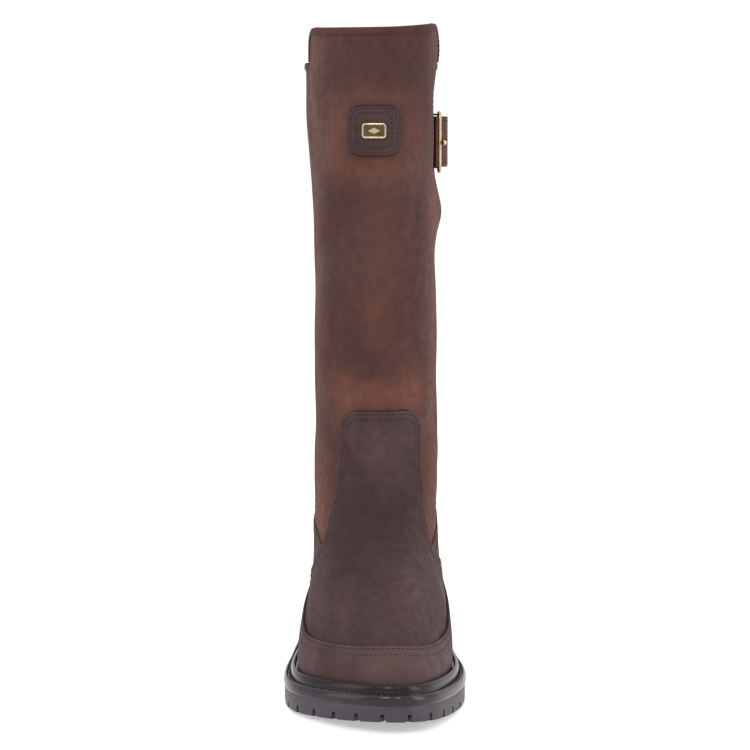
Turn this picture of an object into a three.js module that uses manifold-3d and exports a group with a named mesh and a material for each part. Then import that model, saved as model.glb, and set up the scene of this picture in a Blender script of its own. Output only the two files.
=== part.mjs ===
// A tall leather country riding boot: welted rubber sole, laid-up leather upper and a buckled calf strap.
// Millimetres, +Z up, toe towards -Y, buckle on +X. The floor is Z = 0.
import * as THREE from "three";
import { mergeVertices } from "three/addons/utils/BufferGeometryUtils.js";
import Module from "manifold-3d";

const wasm = await Module();
wasm.setup();

// ---------------------------------------------------------------- driving dimensions

// Outsole: half length, half width at the ball, thickness at its edge, heel lift and toe spring.
const SOLE_HALF_LENGTH = 143;
const SOLE_HALF_WIDTH = 55.25;
const SOLE_THICKNESS = 17.3;
const HEEL_LIFT = 16;
const TOE_SPRING = 8;
const TOE_SPRING_TOP = 6;
const WAIST_LIFT = 11;
const LUG_DEPTH = 4.6;
const LUG_GAP = 2.6;
const LUG_PITCH = 17;
const LUG_REACH = 9;

// Shoe bottom, from the outsole up: clearance, welt, insole board, footbed.
const GAP = 0.3;
const WELT_THICKNESS = 3;
const BEAD_HEIGHT = 2.8;
const INSOLE_THICKNESS = 2.2;
const FOOTBED_THICKNESS = 4;
const UPPER_INSET = 14;
const WELT_OUTER_INSET = 4.2;
const WELT_INNER_INSET = 21;
const BEAD_INNER_INSET = 7.1;
const FILLER_PLAY = 4.5;
const INSOLE_PLAY = 2.6;
const SHANK_LENGTH = 105;
const SHANK_WIDTH = 13;
const SHANK_THICKNESS = 1.5;
const SHANK_COVER = 0.9;

// Shaft: ankle height, front and back toplines.
const ANKLE_Z = 150;
const TOP_Z = 406;
const BACK_TOP_Z = TOP_Z - 23;
const CORNER_RADIUS = 11;
const SHAFT_GIRTH = 372;
const BINDING_DEPTH = 4.2;
const BINDING_THICKNESS = 1;

// Leather lay-up, as distances out of the base surface: lining, base, overlay and rand layers.
const LAYER_GAP = 0.5;
const LINING_LEATHER = 1.2;
const BASE_LEATHER = 1.7;
const OVERLAY_LEATHER = 1.6;
const RAND_LEATHER = 1.4;
const LINING = [-LAYER_GAP - LINING_LEATHER, -LAYER_GAP];
const BASE = [0, BASE_LEATHER];
const OVERLAY = [BASE[1] + LAYER_GAP, BASE[1] + LAYER_GAP + OVERLAY_LEATHER];
const RAND = [OVERLAY[1] + LAYER_GAP, OVERLAY[1] + LAYER_GAP + RAND_LEATHER];

// Badge and buckle.
const BADGE_SIZE = [32, 31];
const BADGE_Z = TOP_Z - 63.5;
const BADGE_X = -0.6;
const PLATE_SIZE = [15, 9.3];
const PLATE_THICKNESS = 1.6;
const PLATE_RIM = 1.2;
const STRAP_Z = TOP_Z - 72;
const STRAP_WIDTH = 32;
const STRAP_THICKNESS = 1.8;
const TAB_WIDTH = STRAP_WIDTH - 4;
const TAB_THICKNESS = 1.4;
const FRAME_BAND = 2.8;
const FRAME_SIDE_PLAY = 0.7;
const FRAME_HEIGHT = STRAP_WIDTH + 2 * (FRAME_BAND + FRAME_SIDE_PLAY);
const FRAME_DEPTH = 30;
const FRAME_THICKNESS = 2.2;
const BAR_RADIUS = 1.1;
const PRONG_RADIUS = 1.1;
const PRONG_SIDE_PLAY = 0.8;
const EYE_RADIUS = 2.5;
const EYE_HEIGHT = 4;
const HINGE_Y = 84;
const FRAME_FRONT_Y = HINGE_Y + BAR_RADIUS - FRAME_DEPTH;
const STRAP_START_Y = FRAME_FRONT_Y - 8.1;
const KEEPER_Y = HINGE_Y + 14;
const KEEPER_WIDTH = 6;
const KEEPER_WALL = 1.2;

// ---------------------------------------------------------------- small maths

const clamp = THREE.MathUtils.clamp;
const lerp = THREE.MathUtils.lerp;
const smooth = (x) => THREE.MathUtils.smoothstep(x, 0, 1);

// A smooth curve through hand-set [at, value] stations.
function stations(table) {
  const slope = (k) => {
    const a = table[Math.max(k - 1, 0)];
    const b = table[Math.min(k + 1, table.length - 1)];
    return (b[1] - a[1]) / (b[0] - a[0]);
  };
  return (at) => {
    const x = clamp(at, table[0][0], table[table.length - 1][0]);
    let k = 0;
    while (k < table.length - 2 && x > table[k + 1][0]) {
      k += 1;
    }
    const h = table[k + 1][0] - table[k][0];
    const t = (x - table[k][0]) / h;
    const rise = (3 - 2 * t) * t * t;
    const leave = ((t - 2) * t + 1) * t * h;
    const arrive = (t - 1) * t * t * h;
    return lerp(table[k][1], table[k + 1][1], rise) + leave * slope(k) + arrive * slope(k + 1);
  };
}

const steady = (value) => () => value;
const spread = (from, to, count) => Array.from({ length: count + 1 }, (_, k) => lerp(from, to, k / count));

// ---------------------------------------------------------------- the sole outline

// The outline as shares of the half width and half length, from left of the tip round the outer side.
const OUTLINE_SHARES = [
  [0.22, -1.0], [0.43, -0.975], [0.6, -0.908], [0.725, -0.815], [0.825, -0.71], [0.91, -0.6],
  [0.975, -0.48], [1.0, -0.34], [0.975, -0.18], [0.9, 0.0], [0.8, 0.2], [0.72, 0.42],
  [0.69, 0.62], [0.66, 0.8], [0.52, 0.94], [0.27, 0.995], [0, 1], [-0.27, 0.99],
  [-0.5, 0.94], [-0.65, 0.8], [-0.7, 0.62], [-0.76, 0.42], [-0.845, 0.2], [-0.93, 0.0],
  [-0.985, -0.2], [-1.0, -0.38], [-0.965, -0.53], [-0.86, -0.655], [-0.68, -0.755], [-0.43, -0.86],
  [-0.12, -0.95],
];
const outlineCurve = new THREE.CatmullRomCurve3(
  OUTLINE_SHARES.map(([x, y]) => new THREE.Vector3(x * SOLE_HALF_WIDTH, y * SOLE_HALF_LENGTH, 0)),
  true,
  "catmullrom",
  0.5,
);
outlineCurve.arcLengthDivisions = 720;

// A point of the outline at share g of its length, moved in by inset, with its outward normal.
function outline(g, inset) {
  const u = g - Math.floor(g);
  const at = outlineCurve.getPointAt(u);
  const along = outlineCurve.getTangentAt(u);
  const out = new THREE.Vector3(along.y, -along.x, 0);
  return { at: at.addScaledVector(out, -inset), out };
}

// Heights that vary along the boot: the toe spring and the lift of the heel seat.
const springShare = (y) => clamp((-y - 50) / (SOLE_HALF_LENGTH - 50), 0, 1.2) ** 2;
const heelLift = (y) => HEEL_LIFT * smooth((y + 20) / 95);
const seatZ = (y) => SOLE_THICKNESS + TOE_SPRING_TOP * springShare(y) + heelLift(y);
const waistLift = (y) => WAIST_LIFT * smooth((y - 2) / 26) * smooth((54 - y) / 7);
const treadZ = (y) => TOE_SPRING * springShare(y) + waistLift(y);

// Left and right sides of the outline, inset, on rows from toe to heel.
function rails(inset, rowCount) {
  const ring = spread(0, 1, 240).map((g) => outline(g, inset).at);
  const low = Math.min(...ring.map((p) => p.y));
  const high = Math.max(...ring.map((p) => p.y));
  const rows = spread(0, Math.PI, rowCount);
  const edge = 0.004;
  return rows.map((angle) => {
    const share = clamp(0.5 - 0.5 * Math.cos(angle), edge, 1 - edge);
    const y = lerp(low, high, share);
    const xs = [];
    for (let k = 0; k < 240; k += 1) {
      const a = ring[k];
      const b = ring[k + 1];
      if ((a.y - y) * (b.y - y) <= 0 && a.y !== b.y) xs.push(lerp(a.x, b.x, (y - a.y) / (b.y - a.y)));
    }
    return { y, left: Math.min(...xs), right: Math.max(...xs) };
  });
}

// ---------------------------------------------------------------- the upper's base surface

// Half widths and front and back faces by height. The strap draws the buckle side in, with a bulge under it.
const strapBottom = STRAP_Z - STRAP_WIDTH / 2;
const strapTopEdge = STRAP_Z + STRAP_WIDTH / 2;
const shaftRight = stations([
  [ANKLE_Z - 50, 39.5], [ANKLE_Z, 38.5], [ANKLE_Z + 80, 37.2],
  [strapBottom - 56, 36.8], [strapBottom - 41, 38.4], [strapBottom - 28, 40.8], [strapBottom - 14, 38.2],
  [strapBottom - 3, 36.1], [strapBottom + 8, 36], [strapTopEdge + 12, 36], [strapTopEdge + 26, 37.5],
  [TOP_Z - 14, 39.5], [TOP_Z, 38.5],
]);
const shaftLeft = stations([
  [ANKLE_Z - 50, 38], [ANKLE_Z, 37], [ANKLE_Z + 80, 36.6],
  [TOP_Z - 106, 37.4], [TOP_Z - 26, 40.4], [TOP_Z, 40.2],
]);
const shaftFront = stations([
  [ANKLE_Z - 50, 2], [ANKLE_Z, 2], [ANKLE_Z + 70, -2], [TOP_Z - 106, -5], [TOP_Z, -8],
]);
const shaftBack = stations([
  [ANKLE_Z - 50, 112], [ANKLE_Z, 116], [ANKLE_Z + 70, 126],
  [TOP_Z - 106, 135], [TOP_Z - 56, 136], [TOP_Z, 133],
]);
const FRONT_POWER = 2.35;
const BACK_POWER = 2.15;

// The shaft's section at height z. s runs once round: 0 front, 0.25 buckle side, 0.5 back.
function shaftPoint(s, z) {
  const c = Math.cos(2 * Math.PI * s);
  const d = Math.sin(2 * Math.PI * s);
  const width = d >= 0 ? shaftRight(z) : shaftLeft(z);
  const middle = (shaftFront(z) + shaftBack(z)) / 2;
  const power = c >= 0 ? FRONT_POWER : BACK_POWER;
  const x = width * Math.sign(d) * Math.abs(d) ** (2 / power);
  const y = middle - (middle - shaftFront(z)) * Math.sign(c) * Math.abs(c) ** (2 / power);
  return new THREE.Vector3(x, y, z);
}

// A value that blends between its toe, right, left and heel settings round the boot.
function around(s, toe, right, left, heel) {
  const c = Math.cos(2 * Math.PI * s);
  const side = lerp(left, right, 0.5 + 0.5 * Math.tanh(3 * Math.sin(2 * Math.PI * s)));
  return c > 0 ? side + (toe - side) * c ** 1.5 : side + (heel - side) * (-c) ** 1.5;
}

// The base surface: t runs from 0 at the feather edge to 1 at the ankle and 2 at the front topline.
function surface(s, t) {
  if (t > 1) return shaftPoint(s, ANKLE_Z + (t - 1) * (TOP_Z - ANKLE_Z));
  const { at, out } = outline(s + 0.08 * Math.sin(2 * Math.PI * s), UPPER_INSET);
  const foot = at.clone().setZ(seatZ(at.y) + WELT_THICKNESS + 2 * GAP);
  const ankle = shaftPoint(s, ANKLE_Z);
  const up = shaftPoint(s, ANKLE_Z + 2).sub(ankle).divideScalar(2);
  const low = foot.clone().addScaledVector(out, around(s, 3, 7, 2, 6));
  low.z += around(s, 34, 30, 21, 26);
  const high = ankle.clone().addScaledVector(up, -around(s, 62, 44, 58, 40));
  const r = 1 - t;
  return new THREE.Vector3()
    .addScaledVector(foot, r ** 3)
    .addScaledVector(low, 3 * r * r * t)
    .addScaledVector(high, 3 * r * t * t)
    .addScaledVector(ankle, t ** 3);
}

function surfaceNormal(s, t) {
  const step = 0.001;
  const across = surface(s + step, t).sub(surface(s - step, t));
  const up = surface(s, t + step).sub(surface(s, t - step));
  return across.cross(up).normalize();
}

const lifted = (s, t, out) => surface(s, t).addScaledVector(surfaceNormal(s, t), out);
const shaftT = (z) => 1 + (z - ANKLE_Z) / (TOP_Z - ANKLE_Z);

// ---------------------------------------------------------------- mesh building

// A closed geometry from points and faces, turned so that its faces point out.
function closed(points, faces) {
  let volume = 0;
  for (const [a, b, c] of faces) volume += points[a].dot(points[b].clone().cross(points[c]));
  const turned = volume < 0 ? faces.map(([a, b, c]) => [a, c, b]) : faces;
  const geometry = new THREE.BufferGeometry();
  geometry.setAttribute("position", new THREE.Float32BufferAttribute(points.flatMap((p) => p.toArray()), 3));
  geometry.setIndex(turned.flat());
  return geometry;
}

// Sections (equal closed polygons) joined one after another. A looped loft closes on itself.
function loft(sections, looped) {
  const size = sections[0].length;
  const count = sections.length;
  const faces = [];
  const last = looped ? count : count - 1;
  for (let k = 0; k < last; k += 1) {
    const here = k * size;
    const next = ((k + 1) % count) * size;
    for (let j = 0; j < size; j += 1) {
      const up = (j + 1) % size;
      faces.push([here + j, next + j, next + up], [here + j, next + up, here + up]);
    }
  }
  if (!looped) {
    for (const [base, turn] of [[0, true], [(count - 1) * size, false]]) {
      for (const [a, b, c] of capFaces(sections[base / size])) {
        faces.push(turn ? [base + a, base + b, base + c] : [base + a, base + c, base + b]);
      }
    }
  }
  return closed(sections.flat(), faces);
}

// Triangles over one flat-ish polygon, wound the way the polygon runs.
function capFaces(polygon) {
  const normal = new THREE.Vector3();
  polygon.forEach((p, k) => normal.add(p.clone().cross(polygon[(k + 1) % polygon.length])));
  normal.normalize();
  const side = new THREE.Vector3(normal.y, normal.z, normal.x).cross(normal).normalize();
  const up = normal.clone().cross(side);
  const flat = polygon.map((p) => new THREE.Vector2(p.dot(side), p.dot(up)));
  const faces = THREE.ShapeUtils.triangulateShape(flat, []);
  const [a, b, c] = faces[0].map((k) => flat[k]);
  const turned = b.clone().sub(a).cross(c.clone().sub(a)) < 0;
  return turned ? faces.map(([i, j, k]) => [i, k, j]) : faces;
}

// A slab between two grids of points, grid[i][j]. A looped slab joins its last column to its first.
function slab(inner, outer, looped) {
  const columns = inner.length;
  const rows = inner[0].length;
  const at = (i, j, face) => (face * columns + (i % columns)) * rows + j;
  const faces = [];
  const quad = (a, b, c, d) => faces.push([a, b, c], [a, c, d]);
  const spans = looped ? columns : columns - 1;
  for (let i = 0; i < spans; i += 1) {
    for (let j = 0; j < rows - 1; j += 1) {
      quad(at(i, j, 1), at(i + 1, j, 1), at(i + 1, j + 1, 1), at(i, j + 1, 1));
      faces.push([at(i, j, 0), at(i + 1, j + 1, 0), at(i + 1, j, 0)]);
      faces.push([at(i, j, 0), at(i, j + 1, 0), at(i + 1, j + 1, 0)]);
    }
    const top = rows - 1;
    quad(at(i, 0, 0), at(i + 1, 0, 0), at(i + 1, 0, 1), at(i, 0, 1));
    quad(at(i, top, 1), at(i + 1, top, 1), at(i + 1, top, 0), at(i, top, 0));
  }
  if (!looped) {
    const last = columns - 1;
    for (let j = 0; j < rows - 1; j += 1) {
      quad(at(0, j, 0), at(0, j, 1), at(0, j + 1, 1), at(0, j + 1, 0));
      quad(at(last, j, 1), at(last, j, 0), at(last, j + 1, 0), at(last, j + 1, 1));
    }
  }
  return closed([...inner.flat(), ...outer.flat()], faces);
}

// manifold-3d solids from geometries and back.
function solid(geometry) {
  const bare = geometry.index ? geometry.toNonIndexed() : geometry.clone();
  for (const name of Object.keys(bare.attributes)) {
    if (name !== "position") bare.deleteAttribute(name);
  }
  const merged = mergeVertices(bare, 1e-3);
  return new wasm.Manifold(
    new wasm.Mesh({
      numProp: 3,
      vertProperties: merged.attributes.position.array,
      triVerts: new Uint32Array(merged.index.array),
    }),
  );
}

function geometryOf(made) {
  const mesh = made.getMesh();
  const geometry = new THREE.BufferGeometry();
  geometry.setAttribute("position", new THREE.BufferAttribute(mesh.vertProperties, 3));
  geometry.setIndex(new THREE.BufferAttribute(mesh.triVerts, 1));
  return geometry;
}

const moved = (geometry, x, y, z) => geometry.clone().translate(x, y, z);

// ---------------------------------------------------------------- lay-up of the upper

// Every leather layer shares these columns and rows, so that layers nest without touching.
const HALF_COLUMNS = [0, 0.02, 0.04, 0.06, 0.08, 0.105, 0.14, 0.175, 0.21, 0.25, 0.3, 0.355, 0.41, 0.46];
const COLUMNS = [...HALF_COLUMNS, 0.5, ...HALF_COLUMNS.slice(1).reverse().map((s) => 1 - s)];
const FOOT_ROWS = [-0.05, ...spread(0.1, 1, 9)];
const UNDER_STRAP = [-68, -46, -28, -12, 4].map((above) => strapBottom + above);
const SHAFT_ROWS = [ANKLE_Z + 40, ...UNDER_STRAP, strapTopEdge + 14, TOP_Z - 20, TOP_Z + 4].map(shaftT);

// Everything above the welt, which trims the foot of every layer level with it.
const aboveWelt = (() => {
  const ys = spread(-SOLE_HALF_LENGTH - 10, SOLE_HALF_LENGTH + 10, 20);
  const edge = (y) => seatZ(y) + WELT_THICKNESS + 2 * GAP;
  const grid = (z) => [-90, 90].map((x) => ys.map((y) => new THREE.Vector3(x, y, z(y))));
  return solid(slab(grid(edge), grid(steady(TOP_Z + 60)), false));
})();

// One whole layer of the upper between two distances out of the base surface.
function layer([low, high], rows) {
  const grid = (out) => COLUMNS.map((s) => rows.map((t) => lifted(s, t, out)));
  return solid(slab(grid(low), grid(high), true)).intersect(aboveWelt);
}

// A cutter over part of the surface. left and right give s for a row t; it spans well past the layer.
function region(rows, left, right, columns = 12) {
  const grid = (out) =>
    spread(0, 1, columns).map((a) => rows.map((t) => lifted(lerp(left(t), right(t), a), t, out)));
  return solid(slab(grid(-4), grid(9), false));
}

// The same, by columns: low and high give t for a column s.
function columnRegion(columns, low, high, rows = 6) {
  const grid = (out) =>
    columns.map((s) => spread(0, 1, rows).map((b) => lifted(s, lerp(low(s), high(s), b), out)));
  return solid(slab(grid(-4), grid(9), false));
}

const SEAM_S = 0.21;
const SLIT = 0.0016;
const PUFF_T = 0.29;
const STIFFENER_T = 0.48;
const PANEL_T = 0.56;
const UNDERLAP_S = 0.022;
const LINING_JOIN_T = 0.6;

// Half widths of the vamp, in s, at each row t: it runs from the feather edge to the tongue's top.
const vampRight = stations([
  [0, 0.28], [0.2, 0.27], [0.35, 0.252], [0.42, 0.222], [0.46, 0.178], [0.5, 0.13], [0.55, 0.103],
  [0.62, 0.096], [0.7, 0.096], [0.82, 0.101], [1.0, 0.105], [1.04, 0.1], [1.065, 0.085], [1.08, 0.062],
]);
const vampLeft = stations([
  [0, 0.28], [0.2, 0.27], [0.35, 0.252], [0.42, 0.222], [0.46, 0.184], [0.5, 0.14], [0.55, 0.114],
  [0.62, 0.101], [0.7, 0.09], [0.82, 0.081], [0.95, 0.076], [1.03, 0.071], [1.06, 0.058], [1.08, 0.04],
]);
const VAMP_ROWS = [
  -0.1, 0.1, 0.2, 0.3, 0.37, 0.42, 0.46, 0.5, 0.55, 0.62, 0.7, 0.8, 0.9, 1, 1.04, 1.065, 1.08,
];

const mudguardTop = stations([
  [0, 0.19], [0.055, 0.19], [0.09, 0.218], [0.11, 0.262], [0.14, 0.335], [0.18, 0.375], [0.27, 0.38],
]);
const foxingTop = stations([
  [0.09, 0.56], [0.125, 0.61], [0.155, 0.64], [0.21, 0.65], [0.35, 0.63], [0.5, 0.64],
]);
const nearFront = (s) => Math.min(s - Math.floor(s), 1 - (s - Math.floor(s)));

// The front topline, in t, with its rounded corners at the side seams.
function frontTop(s) {
  const inside = clamp((SEAM_S - nearFront(s)) * SHAFT_GIRTH, 0, CORNER_RADIUS);
  const drop = CORNER_RADIUS - Math.sqrt(CORNER_RADIUS ** 2 - (CORNER_RADIUS - inside) ** 2);
  return shaftT(TOP_Z - drop);
}

function vampCutter(grow) {
  const rows = VAMP_ROWS.map((t, k) => (k === VAMP_ROWS.length - 1 ? t + grow : t));
  return region(rows, (t) => -vampLeft(t) - grow, (t) => vampRight(t) + grow, 16);
}

// The hole in the front panel's lower end, under the vamp.
function tongueHole(shrink) {
  const rows = [PANEL_T - 0.05, 0.6, 0.66, 0.73, 0.8, 0.88, 0.95, 1 - shrink * 2];
  const inset = UNDERLAP_S + shrink;
  return region(rows, (t) => -vampLeft(t) + inset, (t) => vampRight(t) - inset, 8);
}

function frontPanelCutter(grow) {
  const columns = [-SEAM_S, -0.2, -0.19, -0.175, ...spread(-0.14, 0.14, 8), 0.175, 0.19, 0.2, SEAM_S];
  const scale = (SEAM_S + grow) / SEAM_S;
  const top = (s) => frontTop(s / scale) + grow;
  const outer = columnRegion(columns.map((s) => s * scale), steady(PANEL_T - grow), top, 14);
  return outer.subtract(tongueHole(grow));
}

// The elastic V on the buckle side, under the strap.
const GUSSET_S = 0.3275;
const GUSSET_LOW_T = shaftT(BACK_TOP_Z - 91);
const gussetHalf = (t) => lerp(0.006, 0.028, (t - GUSSET_LOW_T) / (shaftT(BACK_TOP_Z) - GUSSET_LOW_T));

function gussetCutter(grow) {
  const rows = spread(GUSSET_LOW_T - grow * 2, shaftT(BACK_TOP_Z) + 0.02, 6);
  return region(rows, (t) => GUSSET_S - gussetHalf(t) - grow, (t) => GUSSET_S + gussetHalf(t) + grow, 4);
}

const upperRows = [...FOOT_ROWS, ...SHAFT_ROWS];
const liningLayer = layer(LINING, upperRows);
const baseLayer = layer(BASE, upperRows);
const overlayLayer = layer(OVERLAY, upperRows);
const randLayer = layer(RAND, FOOT_ROWS.slice(0, 7));
const backTopT = shaftT(BACK_TOP_Z);

function backPanel(from, to) {
  const cutter = columnRegion(spread(from, to, 8), steady(STIFFENER_T + 0.01), steady(backTopT), 8);
  return baseLayer.intersect(cutter);
}

function shaftLining() {
  const front = columnRegion(
    [-SEAM_S, -0.19, -0.17, ...spread(-0.14, 0.14, 8), 0.17, 0.19, SEAM_S],
    steady(LINING_JOIN_T + 0.006),
    (s) => frontTop(s) - 0.004,
    10,
  );
  const back = columnRegion(
    spread(SEAM_S - 0.002, 1.002 - SEAM_S, 16),
    steady(LINING_JOIN_T + 0.006),
    steady(backTopT - 0.004),
    10,
  );
  return liningLayer.intersect(front.add(back));
}

function footLining() {
  return layer(LINING, [...FOOT_ROWS.filter((t) => t < LINING_JOIN_T - 0.01), LINING_JOIN_T - 0.004]);
}

function interlining() {
  const low = columnRegion(spread(-0.284, 0.284, 20), steady(PUFF_T + 0.014), steady(STIFFENER_T - 0.004));
  const high = region([STIFFENER_T - 0.02, 0.6, 0.7, 0.8, 0.9, 0.985], steady(-0.205), steady(0.205), 16);
  return baseLayer.intersect(low.add(high)).subtract(frontPanelCutter(SLIT * 1.5));
}

function heelFoxing() {
  const cutter = columnRegion(spread(0.085, 0.915, 30), steady(-0.1), (s) => foxingTop(nearFront(s)), 8);
  return overlayLayer.intersect(cutter).subtract(vampCutter(SLIT * 1.4));
}

function gusset() {
  const cutter = columnRegion(spread(0.29, 0.36, 6), steady(GUSSET_LOW_T - 0.1), steady(backTopT), 3);
  return baseLayer.intersect(gussetCutter(0)).intersect(cutter);
}

function toePuff() {
  return baseLayer.intersect(columnRegion(spread(-0.284, 0.284, 20), steady(0.01), steady(PUFF_T)));
}

function heelStiffener() {
  return baseLayer.intersect(columnRegion(spread(0.288, 0.712, 16), steady(0.01), steady(STIFFENER_T)));
}

function backstay() {
  const cutter = columnRegion(spread(0.478, 0.522, 4), steady(0.655), steady(backTopT - 0.03), 10);
  return overlayLayer.intersect(cutter);
}

function mudguard() {
  const end = 0.262;
  const cutter = columnRegion(spread(-end, end, 26), steady(-0.1), (s) => mudguardTop(Math.abs(s)), 4);
  return randLayer.intersect(cutter);
}

// A U-shaped binding folded over a topline, as sections along the edge.
function binding(columns, top) {
  const rise = 1 / (TOP_Z - ANKLE_Z);
  const outer = BASE[1] + 0.5;
  const inner = LINING[0] - 0.9;
  const sections = columns.map((s) => {
    const foot = top(s) - BINDING_DEPTH * rise;
    const seat = top(s) + 0.4 * rise;
    const crest = seat + BINDING_THICKNESS * rise;
    return [
      lifted(s, foot, outer + BINDING_THICKNESS),
      lifted(s, crest, outer + BINDING_THICKNESS),
      lifted(s, crest, inner - BINDING_THICKNESS),
      lifted(s, foot, inner - BINDING_THICKNESS),
      lifted(s, foot, inner),
      lifted(s, seat, inner),
      lifted(s, seat, outer),
      lifted(s, foot, outer),
    ];
  });
  return loft(sections, false);
}

function frontBinding() {
  const half = [-0.206, -0.198, -0.188, -0.175, -0.14, -0.105, -0.07, -0.035];
  return binding([...half, 0, ...half.slice().reverse().map((s) => -s)], frontTop);
}

function backBinding() {
  const middle = COLUMNS.filter((s) => s > SEAM_S + 0.01 && s < 0.99 - SEAM_S);
  return binding([SEAM_S + 0.007, ...middle, 0.993 - SEAM_S], steady(backTopT));
}

// ---------------------------------------------------------------- the sole

// Rows and sections come at an even pitch, so that pieces that lie on each other stay apart on a longer sole.
const SOLE_ROWS = Math.round(SOLE_HALF_LENGTH / 5.5);
const WELT_SECTIONS = Math.round(SOLE_HALF_LENGTH / 3);
const SEAT_ROWS = Math.round(SOLE_HALF_LENGTH / 8);

// A solid stacked from outline loops [inset, height(y)], closed over its bottom and its top.
function stacked(loops, rowCount) {
  const points = [];
  const rings = loops.map(([inset, height]) => {
    const rows = rails(inset, rowCount);
    const ring = [...rows.map((r) => [r.right, r.y]), ...rows.slice().reverse().map((r) => [r.left, r.y])];
    return ring.map(([x, y]) => {
      points.push(new THREE.Vector3(x, y, height(y)));
      return points.length - 1;
    });
  });
  const faces = [];
  const size = rings[0].length;
  for (let k = 0; k < rings.length - 1; k += 1) {
    for (let j = 0; j < size; j += 1) {
      const up = (j + 1) % size;
      faces.push([rings[k][j], rings[k][up], rings[k + 1][up]]);
      faces.push([rings[k][j], rings[k + 1][up], rings[k + 1][j]]);
    }
  }
  for (const [ring, turn] of [[rings[0], true], [rings[rings.length - 1], false]]) {
    for (let j = 0; j < rowCount; j += 1) {
      const a = ring[j];
      const b = ring[j + 1];
      const c = ring[size - 2 - j];
      const d = ring[size - 1 - j];
      faces.push(...(turn ? [[a, c, b], [a, d, c]] : [[a, b, c], [a, c, d]]));
    }
  }
  return closed(points, faces);
}

const aboveSeat = (height) => (y) => seatZ(y) + height;
const aboveTread = (height) => (y) => treadZ(y) + height;

function outsole() {
  let made = solid(
    stacked(
      [
        [2.2, treadZ],
        [0.5, aboveTread(2.2)],
        [0.5, aboveSeat(-6.6)],
        [0, aboveSeat(-4.6)],
        [0.3, aboveSeat(-2.2)],
        [1.4, aboveSeat(-0.5)],
        [3.2, aboveSeat(0)],
      ],
      SOLE_ROWS,
    ),
  );
  const girth = outlineCurve.getLength();
  const count = Math.round(girth / LUG_PITCH);
  const lug = new THREE.BoxGeometry(LUG_GAP, LUG_REACH, 2 * LUG_DEPTH);
  for (let k = 0; k < count; k += 1) {
    const { at, out } = outline((k + 0.5) / count, LUG_REACH / 2 - 1);
    const waist = waistLift(at.y) > 0.2;
    if (!waist) {
      const turned = lug.clone().rotateZ(Math.atan2(out.y, out.x) + Math.PI / 2);
      made = made.subtract(solid(moved(turned, at.x, at.y, treadZ(at.y))));
    }
  }
  return made;
}

function welt() {
  const profile = [
    [WELT_OUTER_INSET, GAP],
    [WELT_OUTER_INSET, WELT_THICKNESS - 0.4],
    [WELT_OUTER_INSET + 0.8, WELT_THICKNESS + GAP],
    [BEAD_INNER_INSET - 1.2, WELT_THICKNESS + BEAD_HEIGHT],
    [BEAD_INNER_INSET, WELT_THICKNESS + BEAD_HEIGHT - 0.3],
    [BEAD_INNER_INSET, WELT_THICKNESS + GAP],
    [WELT_INNER_INSET, WELT_THICKNESS + GAP],
    [WELT_INNER_INSET, GAP],
  ];
  const sections = spread(0, 1, WELT_SECTIONS).slice(0, WELT_SECTIONS).map((g) =>
    profile.map(([inset, height]) => {
      const { at } = outline(g, inset);
      return at.setZ(seatZ(at.y) + height);
    }),
  );
  return loft(sections, true);
}

const insoleLow = WELT_THICKNESS + 2 * GAP;
const footbedLow = insoleLow + INSOLE_THICKNESS + GAP;
const insoleInset = UPPER_INSET - LINING[0] + INSOLE_PLAY;

function shankSlab(grow) {
  const half = SHANK_WIDTH / 2 + grow;
  const start = -12 - grow;
  const ys = spread(start, start + SHANK_LENGTH + 2 * grow, 10);
  const low = insoleLow - SHANK_COVER - SHANK_THICKNESS - grow;
  const high = low + SHANK_THICKNESS + (grow ? 3 : 0);
  const row = (x, height) => ys.map((y) => new THREE.Vector3(x, y, seatZ(y) + height));
  const grid = (height) => [row(half, height), row(-half, height)];
  return slab(grid(low), grid(high), false);
}

// A flat piece inside the outline that follows the seat, between two heights over it.
const seatLayer = (inset, low, high) =>
  stacked([[inset, aboveSeat(low)], [inset, aboveSeat(high)]], SEAT_ROWS);

function filler() {
  const core = seatLayer(WELT_INNER_INSET + FILLER_PLAY, GAP, WELT_THICKNESS + GAP);
  return solid(core).subtract(solid(shankSlab(0.4)));
}

// ---------------------------------------------------------------- badge

const shaftRow = (x, z) => {
  const width = x >= 0 ? shaftRight(z) : shaftLeft(z);
  const middle = (shaftFront(z) + shaftBack(z)) / 2;
  const share = (1 - (Math.abs(x) / width) ** FRONT_POWER) ** (1 / FRONT_POWER);
  return middle - (middle - shaftFront(z)) * share;
};

// A square with rounded corners, as a grid: the unit square's rim is drawn in at its corners.
function badgePatch() {
  const corner = 0.84;
  const steps = spread(-1, 1, 8);
  const grid = (out) =>
    steps.map((a) =>
      steps.map((b) => {
        const pull = lerp(1, corner, Math.min(Math.abs(a), Math.abs(b)) ** 3);
        const x = BADGE_X + (a * pull * BADGE_SIZE[0]) / 2;
        const z = BADGE_Z + (b * pull * BADGE_SIZE[1]) / 2;
        return new THREE.Vector3(x, shaftRow(x, z) - out, z);
      }),
    );
  return slab(grid(OVERLAY[0]), grid(OVERLAY[1]), false);
}

function roundedRect(width, height, radius) {
  const shape = new THREE.Shape();
  const w = width / 2 - radius;
  const h = height / 2 - radius;
  shape.absarc(w, h, radius, 0, Math.PI / 2);
  shape.absarc(-w, h, radius, Math.PI / 2, Math.PI);
  shape.absarc(-w, -h, radius, Math.PI, 1.5 * Math.PI);
  shape.absarc(w, -h, radius, 1.5 * Math.PI, 2 * Math.PI);
  return shape;
}

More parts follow.
